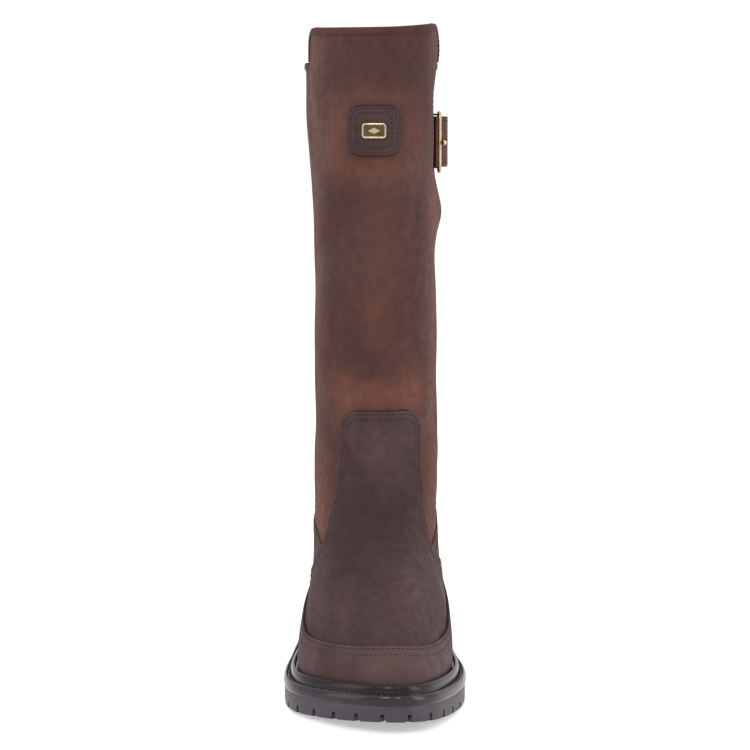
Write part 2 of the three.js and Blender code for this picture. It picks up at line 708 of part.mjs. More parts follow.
// The brass plate: a raised rim round a recessed field with a plain lozenge in it.
function badgePlate() {
  const plate = (across, up, radius, depth) =>
    new THREE.ExtrudeGeometry(roundedRect(across, up, radius), { depth, bevelEnabled: false, curveSegments: 4 });
  const [width, height] = PLATE_SIZE;
  const field = plate(width - 2 * PLATE_RIM, height - 2 * PLATE_RIM, 1.2, PLATE_THICKNESS);
  const body = solid(plate(width, height, 2, PLATE_THICKNESS));
  const recess = solid(moved(field, 0, 0, PLATE_THICKNESS - 0.7));
  const lozenge = solid(
    new THREE.CylinderGeometry(2, 2, 1, 4).rotateX(Math.PI / 2).scale(1.6, 0.9, 1).translate(0, 0, 1),
  );
  const standing = body.subtract(recess).add(lozenge);
  const front = shaftRow(BADGE_X, BADGE_Z) - OVERLAY[1] - GAP;
  return geometryOf(standing).rotateX(Math.PI / 2).translate(BADGE_X, front, BADGE_Z);
}

// ---------------------------------------------------------------- strap and buckle

// A point beside the shaft at the strap's height: y along the boot, out from the base surface.
function besideShaft(y, out) {
  const width = shaftRight(STRAP_Z);
  const front = shaftFront(STRAP_Z);
  const back = shaftBack(STRAP_Z);
  const middle = (front + back) / 2;
  const xAt = (at) => {
    const power = at < middle ? FRONT_POWER : BACK_POWER;
    return width * (1 - (Math.abs(at - middle) / (middle - front)) ** power) ** (1 / power);
  };
  const slope = (xAt(y + 0.2) - xAt(y - 0.2)) / 0.4;
  const normal = new THREE.Vector2(1, -slope).normalize();
  return new THREE.Vector2(xAt(y), y).addScaledVector(normal, out);
}

// A flat strip of leather along a line of points in the XY plane, width high about the strap's height.
function ribbon(line, thickness, width) {
  const rims = [[], []];
  line.forEach((at, k) => {
    const before = line[Math.max(k - 1, 0)];
    const after = line[Math.min(k + 1, line.length - 1)];
    const along = after.clone().sub(before).normalize();
    const side = new THREE.Vector2(along.y, -along.x);
    rims[0].push(at.clone().addScaledVector(side, thickness / 2));
    rims[1].unshift(at.clone().addScaledVector(side, -thickness / 2));
  });
  const shape = new THREE.Shape([...rims[0], ...rims[1]]);
  const made = new THREE.ExtrudeGeometry(shape, { depth: width, bevelEnabled: false });
  return moved(made, 0, 0, STRAP_Z - width / 2);
}

const strapLow = BASE[1] + GAP + STRAP_THICKNESS / 2;
const strapTop = besideShaft(STRAP_START_Y + 9, 0).x + strapLow + STRAP_THICKNESS / 2;
const frameX = strapTop + GAP + FRAME_THICKNESS / 2;
const barOut = frameX - besideShaft(HINGE_Y, 0).x;
const tabTurn = BAR_RADIUS + GAP + TAB_THICKNESS / 2;
const strapHigh = barOut + tabTurn + TAB_THICKNESS / 2 + GAP + STRAP_THICKNESS / 2 + 0.9;
const tabLevel = BASE[1] + KEEPER_WALL + 2 * GAP + TAB_THICKNESS / 2;
const tailLevel = tabLevel + TAB_THICKNESS / 2 + 0.5 + STRAP_THICKNESS / 2;

// The strap lies on the shaft under the frame's front bar, climbs over the back bar and drops into the keeper.
function strap() {
  const path = [
    [STRAP_START_Y, strapLow], [FRAME_FRONT_Y - 1.1, strapLow], [FRAME_FRONT_Y + 4.9, strapLow + 0.1],
    [HINGE_Y - 18.5, strapLow + 0.6], [HINGE_Y - 14, lerp(strapLow, strapHigh, 0.36)],
    [HINGE_Y - 10, lerp(strapLow, strapHigh, 0.7)], [HINGE_Y - 5.5, strapHigh - 0.9],
    [HINGE_Y, strapHigh], [HINGE_Y + 5, strapHigh - 1], [KEEPER_Y - 4.5, tailLevel + 1],
    [KEEPER_Y, tailLevel], [KEEPER_Y + 6, tailLevel],
    [KEEPER_Y + 12, tailLevel + 0.3], [KEEPER_Y + 19, tailLevel + 1],
  ].map(([y, out]) => besideShaft(y, out));
  const line = new THREE.SplineCurve(path).getPoints(30);
  const body = solid(ribbon(line, STRAP_THICKNESS, STRAP_WIDTH));
  const slot = new THREE.BoxGeometry(30, 12.5, 2 * (PRONG_RADIUS + PRONG_SIDE_PLAY));
  return body.subtract(solid(moved(slot, frameX, HINGE_Y - 11.6, STRAP_Z)));
}

function buckleTab() {
  const bar = new THREE.Vector2(frameX, HINGE_Y);
  const turn = spread(-1.5, 1.5, 10).map((angle) =>
    bar.clone().add(new THREE.Vector2(-Math.sin(angle), -Math.cos(angle)).multiplyScalar(tabTurn)),
  );
  const inner = [
    [KEEPER_Y + 18, BASE[1] + 0.4 + TAB_THICKNESS / 2], [KEEPER_Y + 12, tabLevel - 0.9],
    [KEEPER_Y + 6, tabLevel], [KEEPER_Y, tabLevel], [HINGE_Y + 8, tabLevel], [HINGE_Y + 4, tabLevel - 0.1],
  ];
  const outer = [[HINGE_Y + 2.5, barOut + tabTurn], [HINGE_Y + 5.5, barOut + tabTurn - 0.7]];
  const path = [
    ...inner.map(([y, out]) => besideShaft(y, out)),
    ...turn.slice().reverse(),
    ...outer.map(([y, out]) => besideShaft(y, out)),
  ];
  const body = solid(ribbon(path, TAB_THICKNESS, TAB_WIDTH));
  const slot = new THREE.BoxGeometry(12, 11, EYE_HEIGHT + 2);
  return body.subtract(solid(moved(slot, frameX, HINGE_Y - 1, STRAP_Z)));
}

function buckleFrame() {
  const ring = roundedRect(FRAME_DEPTH, FRAME_HEIGHT, 4);
  const open = roundedRect(FRAME_DEPTH, FRAME_HEIGHT - 2 * FRAME_BAND, 2);
  const bevel = 0.4;
  const flat = new THREE.ExtrudeGeometry(ring, {
    depth: FRAME_THICKNESS - 2 * bevel,
    bevelThickness: bevel,
    bevelSize: bevel,
    bevelOffset: -bevel,
    bevelSegments: 1,
    curveSegments: 4,
  });
  const hole = new THREE.ExtrudeGeometry(open, { depth: 8, bevelEnabled: false, curveSegments: 3 });
  const stand = (geometry, y) =>
    geometry.rotateX(Math.PI / 2).rotateZ(Math.PI / 2).translate(0, y, STRAP_Z);
  const middle = FRAME_FRONT_Y + FRAME_DEPTH / 2;
  const body = stand(moved(flat, 0, 0, bevel - FRAME_THICKNESS / 2), middle).translate(frameX, 0, 0);
  const gap = stand(moved(hole, 0, 0, -4), middle + FRAME_BAND).translate(frameX, 0, 0);
  const bar = new THREE.CylinderGeometry(BAR_RADIUS, BAR_RADIUS, FRAME_HEIGHT - 2, 10).rotateX(Math.PI / 2);
  return solid(body).subtract(solid(gap)).add(solid(moved(bar, frameX, HINGE_Y, STRAP_Z)));
}

function buckleProng() {
  const bore = BAR_RADIUS + GAP;
  const half = EYE_HEIGHT / 2;
  const corners = [[bore, -half], [EYE_RADIUS, -half], [EYE_RADIUS, half], [bore, half], [bore, -half]];
  const profile = corners.map(([radius, height]) => new THREE.Vector2(radius, height));
  const eye = new THREE.LatheGeometry(profile, 14).rotateX(Math.PI / 2);
  const restX = frameX + FRAME_THICKNESS / 2 + GAP + PRONG_RADIUS;
  const restY = FRAME_FRONT_Y - 0.4;
  const start = new THREE.Vector3(frameX + 0.9, HINGE_Y - 1.9, STRAP_Z);
  const end = new THREE.Vector3(restX, restY, STRAP_Z);
  const along = end.clone().sub(start);
  const rod = new THREE.CylinderGeometry(PRONG_RADIUS, PRONG_RADIUS, along.length(), 10);
  const upright = new THREE.Vector3(0, 1, 0);
  rod.applyQuaternion(new THREE.Quaternion().setFromUnitVectors(upright, along.clone().normalize()));
  const centre = start.add(end).divideScalar(2);
  const ball = new THREE.SphereGeometry(PRONG_RADIUS + 0.6, 10, 8);
  return solid(moved(eye, frameX, HINGE_Y, STRAP_Z))
    .add(solid(moved(rod, centre.x, centre.y, centre.z)))
    .add(solid(moved(ball, restX + 0.3, restY - 0.9, STRAP_Z)));
}

function strapKeeper() {
  const wall = KEEPER_WALL;
  const low = BASE[1] + GAP;
  const high = tailLevel + STRAP_THICKNESS / 2 + 2;
  const halfDeep = (high - low - wall) / 2;
  const reach = STRAP_WIDTH / 2 + 0.5;
  const outer = roundedRect(2 * (halfDeep + wall), 2 * (reach + wall), 1.4);
  outer.holes.push(roundedRect(2 * halfDeep, 2 * reach, 0.5));
  const sides = { depth: KEEPER_WIDTH, bevelEnabled: false, curveSegments: 2 };
  const ring = new THREE.ExtrudeGeometry(outer, sides);
  const base = besideShaft(KEEPER_Y, 0);
  const far = besideShaft(KEEPER_Y, 1);
  const seat = besideShaft(KEEPER_Y, low + halfDeep + wall);
  const angle = Math.atan2(far.y - base.y, far.x - base.x);
  return moved(ring, 0, 0, -KEEPER_WIDTH / 2)
    .rotateX(Math.PI / 2)
    .rotateZ(angle)
    .translate(seat.x, seat.y, STRAP_Z);
}

// ---------------------------------------------------------------- materials and assembly

const paint = (color, roughness, metalness = 0) => () =>
  new THREE.MeshStandardMaterial({ color, roughness, metalness });
const redLeather = paint(0x5a3a30, 0.6);
const darkLeather = paint(0x4a3833, 0.55);
const liningLeather = paint(0x8a6a4c, 0.8);
const board = paint(0x9b8362, 0.9);
const rubber = paint(0x2b272b, 0.45);
const brass = paint(0xb89a5e, 0.35, 1);
const steel = paint(0x9a9ea2, 0.4, 1);
const elastic = paint(0x2f2522, 0.85);

const boot = new THREE.Group();

function add(name, shape, material) {
  const geometry = shape.isBufferGeometry ? shape : geometryOf(shape);
  const mesh = new THREE.Mesh(geometry, material());
  mesh.name = name;
  boot.add(mesh);
}

// The shoe bottom, from the ground up.
add("outsole", outsole(), rubber);
add("welt", welt(), rubber);
add("filler", filler(), board);
add("shank", shankSlab(0), steel);
add("insole_board", seatLayer(insoleInset, insoleLow, insoleLow + INSOLE_THICKNESS), board);
add("footbed", seatLayer(insoleInset + 0.6, footbedLow, footbedLow + FOOTBED_THICKNESS), liningLeather);

// Linings and stiffening.
add("foot_lining", footLining(), liningLeather);
add("shaft_lining", shaftLining(), liningLeather);
add("toe_puff", toePuff(), board);
add("heel_stiffener", heelStiffener(), board);
add("vamp_backer", interlining(), board);

// Leather outers.
add("front_shaft_panel", baseLayer.intersect(frontPanelCutter(0)), redLeather);
add("back_panel_inner", backPanel(0.5 + SLIT, 1 - SEAM_S - SLIT), redLeather);
add("back_panel_outer", backPanel(SEAM_S + SLIT, 0.5 - SLIT).subtract(gussetCutter(SLIT)), redLeather);
add("gusset", gusset(), elastic);
add("vamp", overlayLayer.intersect(vampCutter(0)), darkLeather);
add("heel_foxing", heelFoxing(), darkLeather);
add("mudguard", mudguard(), redLeather);
add("backstay", backstay(), darkLeather);
add("front_binding", frontBinding(), redLeather);
add("back_binding", backBinding(), redLeather);

// Badge, strap and buckle.
add("badge_patch", badgePatch(), darkLeather);
add("badge_plate", badgePlate(), brass);
add("strap", strap(), redLeather);
add("strap_keeper", strapKeeper(), redLeather);
add("buckle_tab", buckleTab(), redLeather);
add("buckle_frame", buckleFrame(), brass);
add("buckle_prong", buckleProng(), brass);

export default boot;
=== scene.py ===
"""A tall leather riding boot: fine surfaces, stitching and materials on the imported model."""
import math

import bpy
import numpy as np
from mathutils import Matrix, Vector
from mathutils.kdtree import KDTree


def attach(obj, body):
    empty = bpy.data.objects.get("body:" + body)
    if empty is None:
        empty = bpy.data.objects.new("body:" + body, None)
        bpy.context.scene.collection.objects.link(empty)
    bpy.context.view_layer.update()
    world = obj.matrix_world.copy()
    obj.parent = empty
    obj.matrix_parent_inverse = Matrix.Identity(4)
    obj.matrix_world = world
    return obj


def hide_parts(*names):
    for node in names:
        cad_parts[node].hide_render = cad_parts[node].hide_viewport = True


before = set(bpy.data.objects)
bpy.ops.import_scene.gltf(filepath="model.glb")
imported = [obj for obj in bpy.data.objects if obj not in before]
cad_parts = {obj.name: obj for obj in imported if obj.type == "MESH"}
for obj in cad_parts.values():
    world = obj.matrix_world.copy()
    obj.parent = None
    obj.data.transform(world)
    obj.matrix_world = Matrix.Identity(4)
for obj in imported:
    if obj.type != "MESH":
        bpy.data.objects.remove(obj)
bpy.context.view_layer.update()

# ---------------------------------------------------------------- sizes, in millimetres

MM = 0.001
SOLE_HALF_LENGTH = 143.0
SOLE_HALF_WIDTH = 55.25
SOLE_THICKNESS = 17.3
HEEL_LIFT = 16.0
TOE_SPRING = 8.0
TOE_SPRING_TOP = 6.0
WAIST_LIFT = 11.0
LUG_DEPTH = 4.6
LUG_GAP = 2.4
LUG_PITCH = 17.0
LUG_REACH = 8.2
NOTCH_FLARE = 2.2
# How many times as wide as its cut a flare is.
FLARE_SHARE = 1.9
# The first rows of the sole's profile, after its seat, are its polished lip.
LIP_ROWS = 10
WELT_THICKNESS = 3.0
WELT_GAP = 0.6
UPPER_INSET = 14.0
ANKLE_Z = 150.0
TOP_Z = 406.0
BACK_TOP_Z = 383.0
CORNER_RADIUS = 11.0
SHAFT_GIRTH = 372.0
SEAM_S = 0.21
STRAP_Z = 334.0
HINGE_Y = 84.0
STRAP_START_Y = 47.0
KEEPER_Y = 98.0

# How far each leather layer lies out of the upper's base surface.
LINING = (-1.7, -0.5)
BASE = (0.0, 1.7)
OVERLAY = (2.0, 3.5)
RAND = (3.5, 5.0)

# How high the toe puff and the heel stiffener reach, as t on the upper.
PUFF_T = 0.29
STIFFENER_T = 0.48

GROOVE_DEPTH = 0.3
GROOVE_WIDTH = 0.55
STITCH_SLANT = 0.08
# Distances from a rounded edge, close together where it curves and at its stitch lines.
EDGE_REACH = (0, 0.12, 0.35, 0.7, 1.1, 1.6, 2.1, 2.6, 3.1, 3.8, 4.8, 5.5, 6.1, 6.7, 7.6)


# ---------------------------------------------------------------- small maths


def smooth(x):
    x = np.clip(x, 0.0, 1.0)
    return x * x * (3 - 2 * x)


def stations(table):
    """A smooth curve through given (at, value) stations."""
    xs, ys = np.array(table, float).T
    before = np.maximum(np.arange(len(xs)) - 1, 0)
    after = np.minimum(np.arange(len(xs)) + 1, len(xs) - 1)
    slope = (ys[after] - ys[before]) / (xs[after] - xs[before])

    def curve(at):
        x = np.clip(at, xs[0], xs[-1])
        k = np.clip(np.searchsorted(xs, x, side="right") - 1, 0, len(xs) - 2)
        h = xs[k + 1] - xs[k]
        t = (x - xs[k]) / h
        rise = (3 - 2 * t) * t * t
        leave = ((t - 2) * t + 1) * t * h
        arrive = (t - 1) * t * t * h
        return ys[k] + (ys[k + 1] - ys[k]) * rise + leave * slope[k] + arrive * slope[k + 1]

    return curve


def unit(v):
    return v / np.maximum(np.linalg.norm(v, axis=-1, keepdims=True), 1e-9)


def squared_off(c, power):
    """A cosine or sine pushed from a circle towards a square with soft corners."""
    return np.sign(c) * np.abs(c) ** (2 / power)


def arc_lengths(points):
    """How far along a line of points each one lies."""
    return np.concatenate([[0], np.cumsum(np.linalg.norm(np.diff(points, axis=0), axis=1))])


def catmull_rom(p0, p1, p2, p3, t):
    """The smooth curve from p1 to p2 between their neighbours."""
    return 0.5 * (
        2 * p1 + (p2 - p0) * t + (2 * p0 - 5 * p1 + 4 * p2 - p3) * t**2 + (3 * p1 - p0 - 3 * p2 + p3) * t**3
    )


def resample(points, pitch):
    """Points at an even pitch along a line of points, half a pitch in from both ends."""
    arc = arc_lengths(points)
    count = max(int(round(arc[-1] / pitch)), 1)
    at = (np.arange(count) + 0.5) / count * arc[-1]
    return np.stack([np.interp(at, arc, points[:, k]) for k in range(points.shape[1])], 1)


# ---------------------------------------------------------------- the sole outline

OUTLINE_SHARES = [
    (0.22, -1.0), (0.43, -0.975), (0.6, -0.908), (0.725, -0.815), (0.825, -0.71), (0.91, -0.6),
    (0.975, -0.48), (1.0, -0.34), (0.975, -0.18), (0.9, 0.0), (0.8, 0.2), (0.72, 0.42),
    (0.69, 0.62), (0.66, 0.8), (0.52, 0.94), (0.27, 0.995), (0, 1), (-0.27, 0.99),
    (-0.5, 0.94), (-0.65, 0.8), (-0.7, 0.62), (-0.76, 0.42), (-0.845, 0.2), (-0.93, 0.0),
    (-0.985, -0.2), (-1.0, -0.38), (-0.965, -0.53), (-0.86, -0.655), (-0.68, -0.755), (-0.43, -0.86),
    (-0.12, -0.95),
]


def sole_outline():
    """The gently smoothed outline: share of the way round, x, y, outward x and y, and then its length."""
    points = np.array(OUTLINE_SHARES) * (SOLE_HALF_WIDTH, SOLE_HALF_LENGTH)
    count = len(points)
    steps = 4096
    softness = 5.0
    u = np.arange(steps) / steps * count
    k = u.astype(int)
    curve = catmull_rom(*(points[(k + j) % count] for j in (-1, 0, 1, 2)), (u - k)[:, None])
    ring = np.vstack([curve, curve[:1]])
    arc = arc_lengths(ring)
    g = np.arange(steps) / steps
    even = np.stack([np.interp(g * arc[-1], arc, ring[:, j]) for j in (0, 1)], 1)
    blur = np.exp(-0.5 * (np.fft.fftfreq(steps, arc[-1] / steps) * 2 * math.pi * softness) ** 2)
    soft = np.fft.ifft(np.fft.fft(even, axis=0) * blur[:, None], axis=0).real
    along = unit(np.roll(soft, -1, 0) - np.roll(soft, 1, 0))
    return g, soft[:, 0], soft[:, 1], along[:, 1], -along[:, 0], arc[-1]


OUTLINE_G, OUTLINE_X, OUTLINE_Y, OUTLINE_NX, OUTLINE_NY, OUTLINE_LENGTH = sole_outline()


def outline(g, inset):
    """Points of the outline moved in by inset, with their outward directions."""
    columns = (OUTLINE_X, OUTLINE_Y, OUTLINE_NX, OUTLINE_NY)
    x, y, nx, ny = (np.interp(g, OUTLINE_G, column, period=1.0) for column in columns)
    long = np.hypot(nx, ny)
    nx, ny = nx / long, ny / long
    return np.stack([x - nx * inset, y - ny * inset], -1), np.stack([nx, ny], -1)


def spring_share(y):
    return np.clip((-y - 50) / (SOLE_HALF_LENGTH - 50), 0, 1.2) ** 2


def heel_lift(y):
    return HEEL_LIFT * smooth((y + 20) / 95)


def seat_z(y):
    return SOLE_THICKNESS + TOE_SPRING_TOP * spring_share(y) + heel_lift(y)


def waist_lift(y):
    return WAIST_LIFT * smooth((y - 2) / 26) * smooth((54 - y) / 7)


def tread_z(y):
    return TOE_SPRING * spring_share(y) + waist_lift(y)


# ---------------------------------------------------------------- the upper's base surface

shaft_right = stations([
    (100, 39.5), (150, 38.5), (230, 37.2), (262, 36.8), (277, 38.4), (290, 40.8), (304, 38.2),
    (315, 36.1), (326, 36), (362, 36), (376, 37.5), (392, 39.5), (406, 38.5),
])
shaft_left = stations([(100, 38), (150, 37), (230, 36.6), (300, 37.4), (380, 40.4), (406, 40.2)])
shaft_front = stations([(100, 2), (150, 2), (220, -2), (300, -5), (406, -8)])
shaft_back = stations([(100, 112), (150, 116), (220, 126), (300, 135), (350, 136), (406, 133)])
FRONT_POWER = 2.35
BACK_POWER = 2.15


def shaft_point(s, z):
    """The shaft's section at height z. s runs once round: 0 front, 0.25 buckle side, 0.5 back."""
    c = np.cos(2 * np.pi * s)
    d = np.sin(2 * np.pi * s)
    width = np.where(d >= 0, shaft_right(z), shaft_left(z))
    front = shaft_front(z)
    middle = (front + shaft_back(z)) / 2
    power = np.where(c >= 0, FRONT_POWER, BACK_POWER)
    x = width * squared_off(d, power)
    y = middle - (middle - front) * squared_off(c, power)
    return np.stack([x, y, z + 0 * x], -1)


def around(s, toe, right, left, heel):
    """A value that blends between its toe, right, left and heel settings round the boot."""
    c = np.cos(2 * np.pi * s)
    side = left + (right - left) * (0.5 + 0.5 * np.tanh(3 * np.sin(2 * np.pi * s)))
    front = side + (toe - side) * np.maximum(c, 0) ** 1.5
    back = side + (heel - side) * np.maximum(-c, 0) ** 1.5
    return np.where(c > 0, front, back)


def surface(s, t):
    """The base surface: t is 0 at the feather edge, 1 at the ankle and 2 at the front topline."""
    s, t = np.broadcast_arrays(np.asarray(s, float), np.asarray(t, float))
    high_part = shaft_point(s, ANKLE_Z + (np.maximum(t, 1) - 1) * (TOP_Z - ANKLE_Z))
    flat, out = outline(s + 0.08 * np.sin(2 * np.pi * s), UPPER_INSET)
    foot = np.concatenate([flat, (seat_z(flat[..., 1]) + WELT_THICKNESS + WELT_GAP)[..., None]], -1)
    ankle = shaft_point(s, np.full(s.shape, ANKLE_Z))
    up = (shaft_point(s, np.full(s.shape, ANKLE_Z + 2)) - ankle) / 2
    low = foot.copy()
    low[..., :2] += out * around(s, 3, 7, 2, 6)[..., None]
    low[..., 2] += around(s, 34, 30, 21, 26)
    high = ankle - up * around(s, 62, 44, 58, 40)[..., None]
    t1 = np.minimum(t, 1)[..., None]
    r = 1 - t1
    bent = foot * r**3 + low * 3 * r * r * t1 + high * 3 * r * t1 * t1 + ankle * t1**3
    return np.where(t[..., None] > 1, high_part, bent)


def drape(s, t):
    """The soft hand of the leather: long, shallow waves that fade towards the sole and the topline."""
    waves = (
        0.30 * np.sin(2 * np.pi * (2 * s + 2.1 * t) + 0.6)
        + 0.22 * np.sin(2 * np.pi * (5 * s - 3.3 * t) + 2.1)
        + 0.12 * np.sin(2 * np.pi * (9 * s + 6.1 * t) + 4.0)
    )
    dent = 1.4 * np.exp(-((((s % 1.0) - 0.815) / 0.07) ** 2) - ((t - 0.4) / 0.17) ** 2)
    high = smooth((t - 1.35) / 0.45)
    turn = s % 1.0
    bow = 2.2 * np.exp(-(((turn - 0.742) / 0.035) ** 2)) * high
    flat = 2.2 * np.exp(-(((turn - 0.255) / 0.035) ** 2)) * smooth((t - 1.72) / 0.12)
    return waves * smooth((t - 0.35) / 0.6) * smooth((2.02 - t) / 0.2) + bow - flat - dent


def directions(s, t):
    """The steps of the surface per unit of s and of t, and its outward normal."""
    step = 0.001
    across = (surface(s + step, t) - surface(s - step, t)) / (2 * step)
    up = (surface(s, t + step) - surface(s, t - step)) / (2 * step)
    return across, up, unit(np.cross(across, up))


def lifted(s, t, out):
    normal = directions(s, t)[2]
    out = np.asarray(out, float) + drape(s, t)
    return surface(s, t) + normal * out[..., None]


def shaft_t(z):
    return 1 + (z - ANKLE_Z) / (TOP_Z - ANKLE_Z)


def inset_path(s, t, distance):
    """A line on the surface moved sideways by distance, to the left of its direction as seen from outside."""
    across, up, normal = directions(s, t)
    points = surface(s, t)
    along = unit(np.gradient(points, axis=0))
    aside = unit(np.cross(normal, along)) * distance
    a = (across * across).sum(-1)
    b = (across * up).sum(-1)
    c = (up * up).sum(-1)
    p = (across * aside).sum(-1)
    q = (up * aside).sum(-1)
    det = a * c - b * b
    return s + (c * p - b * q) / det, t + (a * q - b * p) / det


# ---------------------------------------------------------------- mesh building


def build_mesh(name, points, faces, materials, body="boot", sharp=50, face_materials=None):
    """A mesh object from points in millimetres, smooth except at sharp edges, riding on a body."""
    mesh = bpy.data.meshes.new(name)
    mesh.from_pydata((np.asarray(points) * MM).tolist(), [], [list(map(int, f)) for f in faces])
    volume = 0.0
    for polygon in mesh.polygons:
        volume += polygon.area * polygon.normal.dot(polygon.center)
    if volume < 0:
        mesh.flip_normals()
    for material in materials:
        mesh.materials.append(material)
    if face_materials is not None:
        mesh.polygons.foreach_set("material_index", np.asarray(face_materials, dtype=np.int32))
    mesh.shade_smooth()
    mesh.set_sharp_from_angle(angle=math.radians(sharp))
    mesh.validate()
    obj = bpy.data.objects.new(name, mesh)
    bpy.context.scene.collection.objects.link(obj)
    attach(obj, body)
    return obj


def add_float(obj, name, values):
    attribute = obj.data.attributes.new(name, "FLOAT", "POINT")
    attribute.data.foreach_set("value", np.asarray(values, dtype=np.float32))


def slab_faces(columns, rows, looped):
    """Quads of a closed slab whose inner grid comes first and outer grid second."""
    i = np.arange(columns if looped else columns - 1)
    j = np.arange(rows - 1)
    ii, jj = (a.ravel() for a in np.meshgrid(i, j, indexing="ij"))
    nxt = (ii + 1) % columns
    half = columns * rows

    def at(a, b, side):
        return side * half + a * rows + b

    outer = np.stack([at(ii, jj, 1), at(nxt, jj, 1), at(nxt, jj + 1, 1), at(ii, jj + 1, 1)], 1)
    inner = np.stack([at(ii, jj, 0), at(ii, jj + 1, 0), at(nxt, jj + 1, 0), at(nxt, jj, 0)], 1)
    n = (i + 1) % columns
    low = np.stack([at(i, 0, 0), at(n, 0, 0), at(n, 0, 1), at(i, 0, 1)], 1)
    top = rows - 1
    high = np.stack([at(i, top, 1), at(n, top, 1), at(n, top, 0), at(i, top, 0)], 1)
    parts = [outer, inner, low, high]
    if not looped:
        last = columns - 1
        parts.append(np.stack([at(0, j, 0), at(0, j, 1), at(0, j + 1, 1), at(0, j + 1, 0)], 1))
        parts.append(np.stack([at(last, j, 1), at(last, j, 0), at(last, j + 1, 0), at(last, j + 1, 1)], 1))
    return np.vstack(parts)


def loft_faces(sections, size, looped):
    """Quads that join equal closed sections one after another, with end caps unless they loop."""
    k = np.arange(sections if looped else sections - 1)
    j = np.arange(size)
    kk, jj = (a.ravel() for a in np.meshgrid(k, j, indexing="ij"))
    here = kk * size
    nxt = ((kk + 1) % sections) * size
    up = (jj + 1) % size
    faces = [list(f) for f in np.stack([here + jj, nxt + jj, nxt + up, here + up], 1)]
    if not looped:
        faces.append(list(range(size - 1, -1, -1)))
        faces.append(list(range((sections - 1) * size, sections * size)))
    return faces


def joined(parts):
    """Several (points, faces) shapes as one."""
    faces = []
    offset = 0
    for part_points, part_faces in parts:
        faces.extend([[v + offset for v in face] for face in part_faces])
        offset += len(part_points)
    return np.vstack([part[0] for part in parts]), faces


def slab(name, inner, outer, material, looped=False):
    """A closed piece between two equal grids of points."""
    points = np.vstack([inner.reshape(-1, 3), outer.reshape(-1, 3)])
    return build_mesh(name, points, slab_faces(*inner.shape[:2], looped), [material])


def moulding(name, lines, materials, looped, sharp, face_materials=None):
    """A profile carried along a path, given as the line that each of its points follows."""
    points = np.stack(lines, 1).reshape(-1, 3)
    faces = loft_faces(len(lines[0]), len(lines), looped)
    return build_mesh(name, points, faces, materials, sharp=sharp, face_materials=face_materials)


def edge_distances(points, lines):
    """The distance of each point to the nearest of some lines of points."""
    dense = np.vstack([resample(line, 0.4) for line in lines])
    tree = KDTree(len(dense))
    for k, point in enumerate(dense):
        tree.insert(Vector(point), k)
    tree.balance()
    return np.array([tree.find(Vector(p))[2] for p in points])


def edge_steps(length, reach=EDGE_REACH, gap=3.0):
    """Distances along a side of that length, close together near both of its ends."""
    near = np.array([d for d in reach if d < length * 0.4])
    count = max(int((length - 2 * near[-1]) / gap), 2)
    middle = np.linspace(near[-1], length - near[-1], count + 1)[1:-1]
    return np.concatenate([near, middle, length - near[::-1]])


def rounded_drop(distance, rounding):
    """How far a surface falls at a distance from its rounded edge."""
    short = np.clip(rounding - distance, 0, rounding)
    return rounding - np.sqrt(rounding**2 - short**2)


def leather(name, node, s, t, layer, edges, material, grooves=(), rounding=0.9):
    """A leather piece over grids of s and t, with rounded edges and sunk stitch lines.

    edges are the (s, t) lines of its visible edges, and grooves their distances to the stitch lines."""
    low, high = (np.broadcast_to(np.asarray(v, float), s.shape) for v in layer)
    level = float(np.mean(high))
    lines = [lifted(a, b, level) for a, b in edges]
    distance = edge_distances(lifted(s, t, high).reshape(-1, 3), lines).reshape(s.shape)
    drop = rounded_drop(distance, rounding)
    for at in grooves:
        drop = drop + GROOVE_DEPTH * np.exp(-(((distance - at) / GROOVE_WIDTH) ** 2))
    obj = slab(name, lifted(s, t, low), lifted(s, t, high - drop), material)
    add_float(obj, "edge_mm", np.concatenate([distance.ravel(), distance.ravel()]))
    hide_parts(node)


def capsule_rings(length, radius, sides=6):
    """A stitch: a short thread lying along X, thinner at its ends."""
    along = np.array([-0.5, -0.44, -0.2, 0.2, 0.44, 0.5]) * length
    thick = np.array([0.35, 0.8, 1.0, 1.0, 0.8, 0.35]) * radius
    dip = np.array([-0.7, -0.25, 0.0, 0.0, -0.25, -0.7]) * radius
    angle = np.arange(sides) / sides * 2 * np.pi
    return np.stack([
        np.repeat(along, sides),
        np.outer(thick, np.cos(angle)).ravel(),
        np.outer(thick, np.sin(angle)).ravel() + np.repeat(dip, sides),
    ], 1)


def stitch_mesh(name, rows, material, length=2.5, radius=0.36, pitch=3.7):
    """Stitches along rows, each a (points, outward directions) pair, joined in one piece."""
    template = capsule_rings(length, radius)
    faces = loft_faces(6, 6, False)
    stitches = []
    for line, outward in rows:
        packed = resample(np.hstack([line, outward]), pitch)
        at = packed[:, :3]
        normal = unit(packed[:, 3:])
        along = unit(np.gradient(at, axis=0))
        along = unit(along + STITCH_SLANT * unit(np.cross(normal, along)))
        aside = unit(np.cross(normal, along))
        for k in range(len(at)):
            placed = template[:, :1] * along[k] + template[:, 1:2] * aside[k] + template[:, 2:] * normal[k]
            stitches.append((at[k] + placed, faces))
    obj = build_mesh(name, *joined(stitches), [material], sharp=80)


def surface_row(s, t, out, sink=0.12):
    """A row for stitch_mesh along a line on the upper."""
    return lifted(s, t, out - sink), directions(s, t)[2]


def seam_rows(line, distances, out):
    """Rows for stitch_mesh beside an (s, t) line."""
    return [surface_row(*inset_path(*line, distance), out) for distance in distances]


def sweep(name, path, aside, up, section, material, closed=False, body="boot", sharp=50):
    """A section (offset aside, offset up) carried along a path."""
    rings = path[:, None, :] + aside[:, None, :] * section[None, :, :1]
    rings = rings + up[:, None, :] * section[None, :, 1:]
    points = rings.reshape(-1, 3)
    return build_mesh(name, points, loft_faces(len(path), len(section), closed), [material], body, sharp)


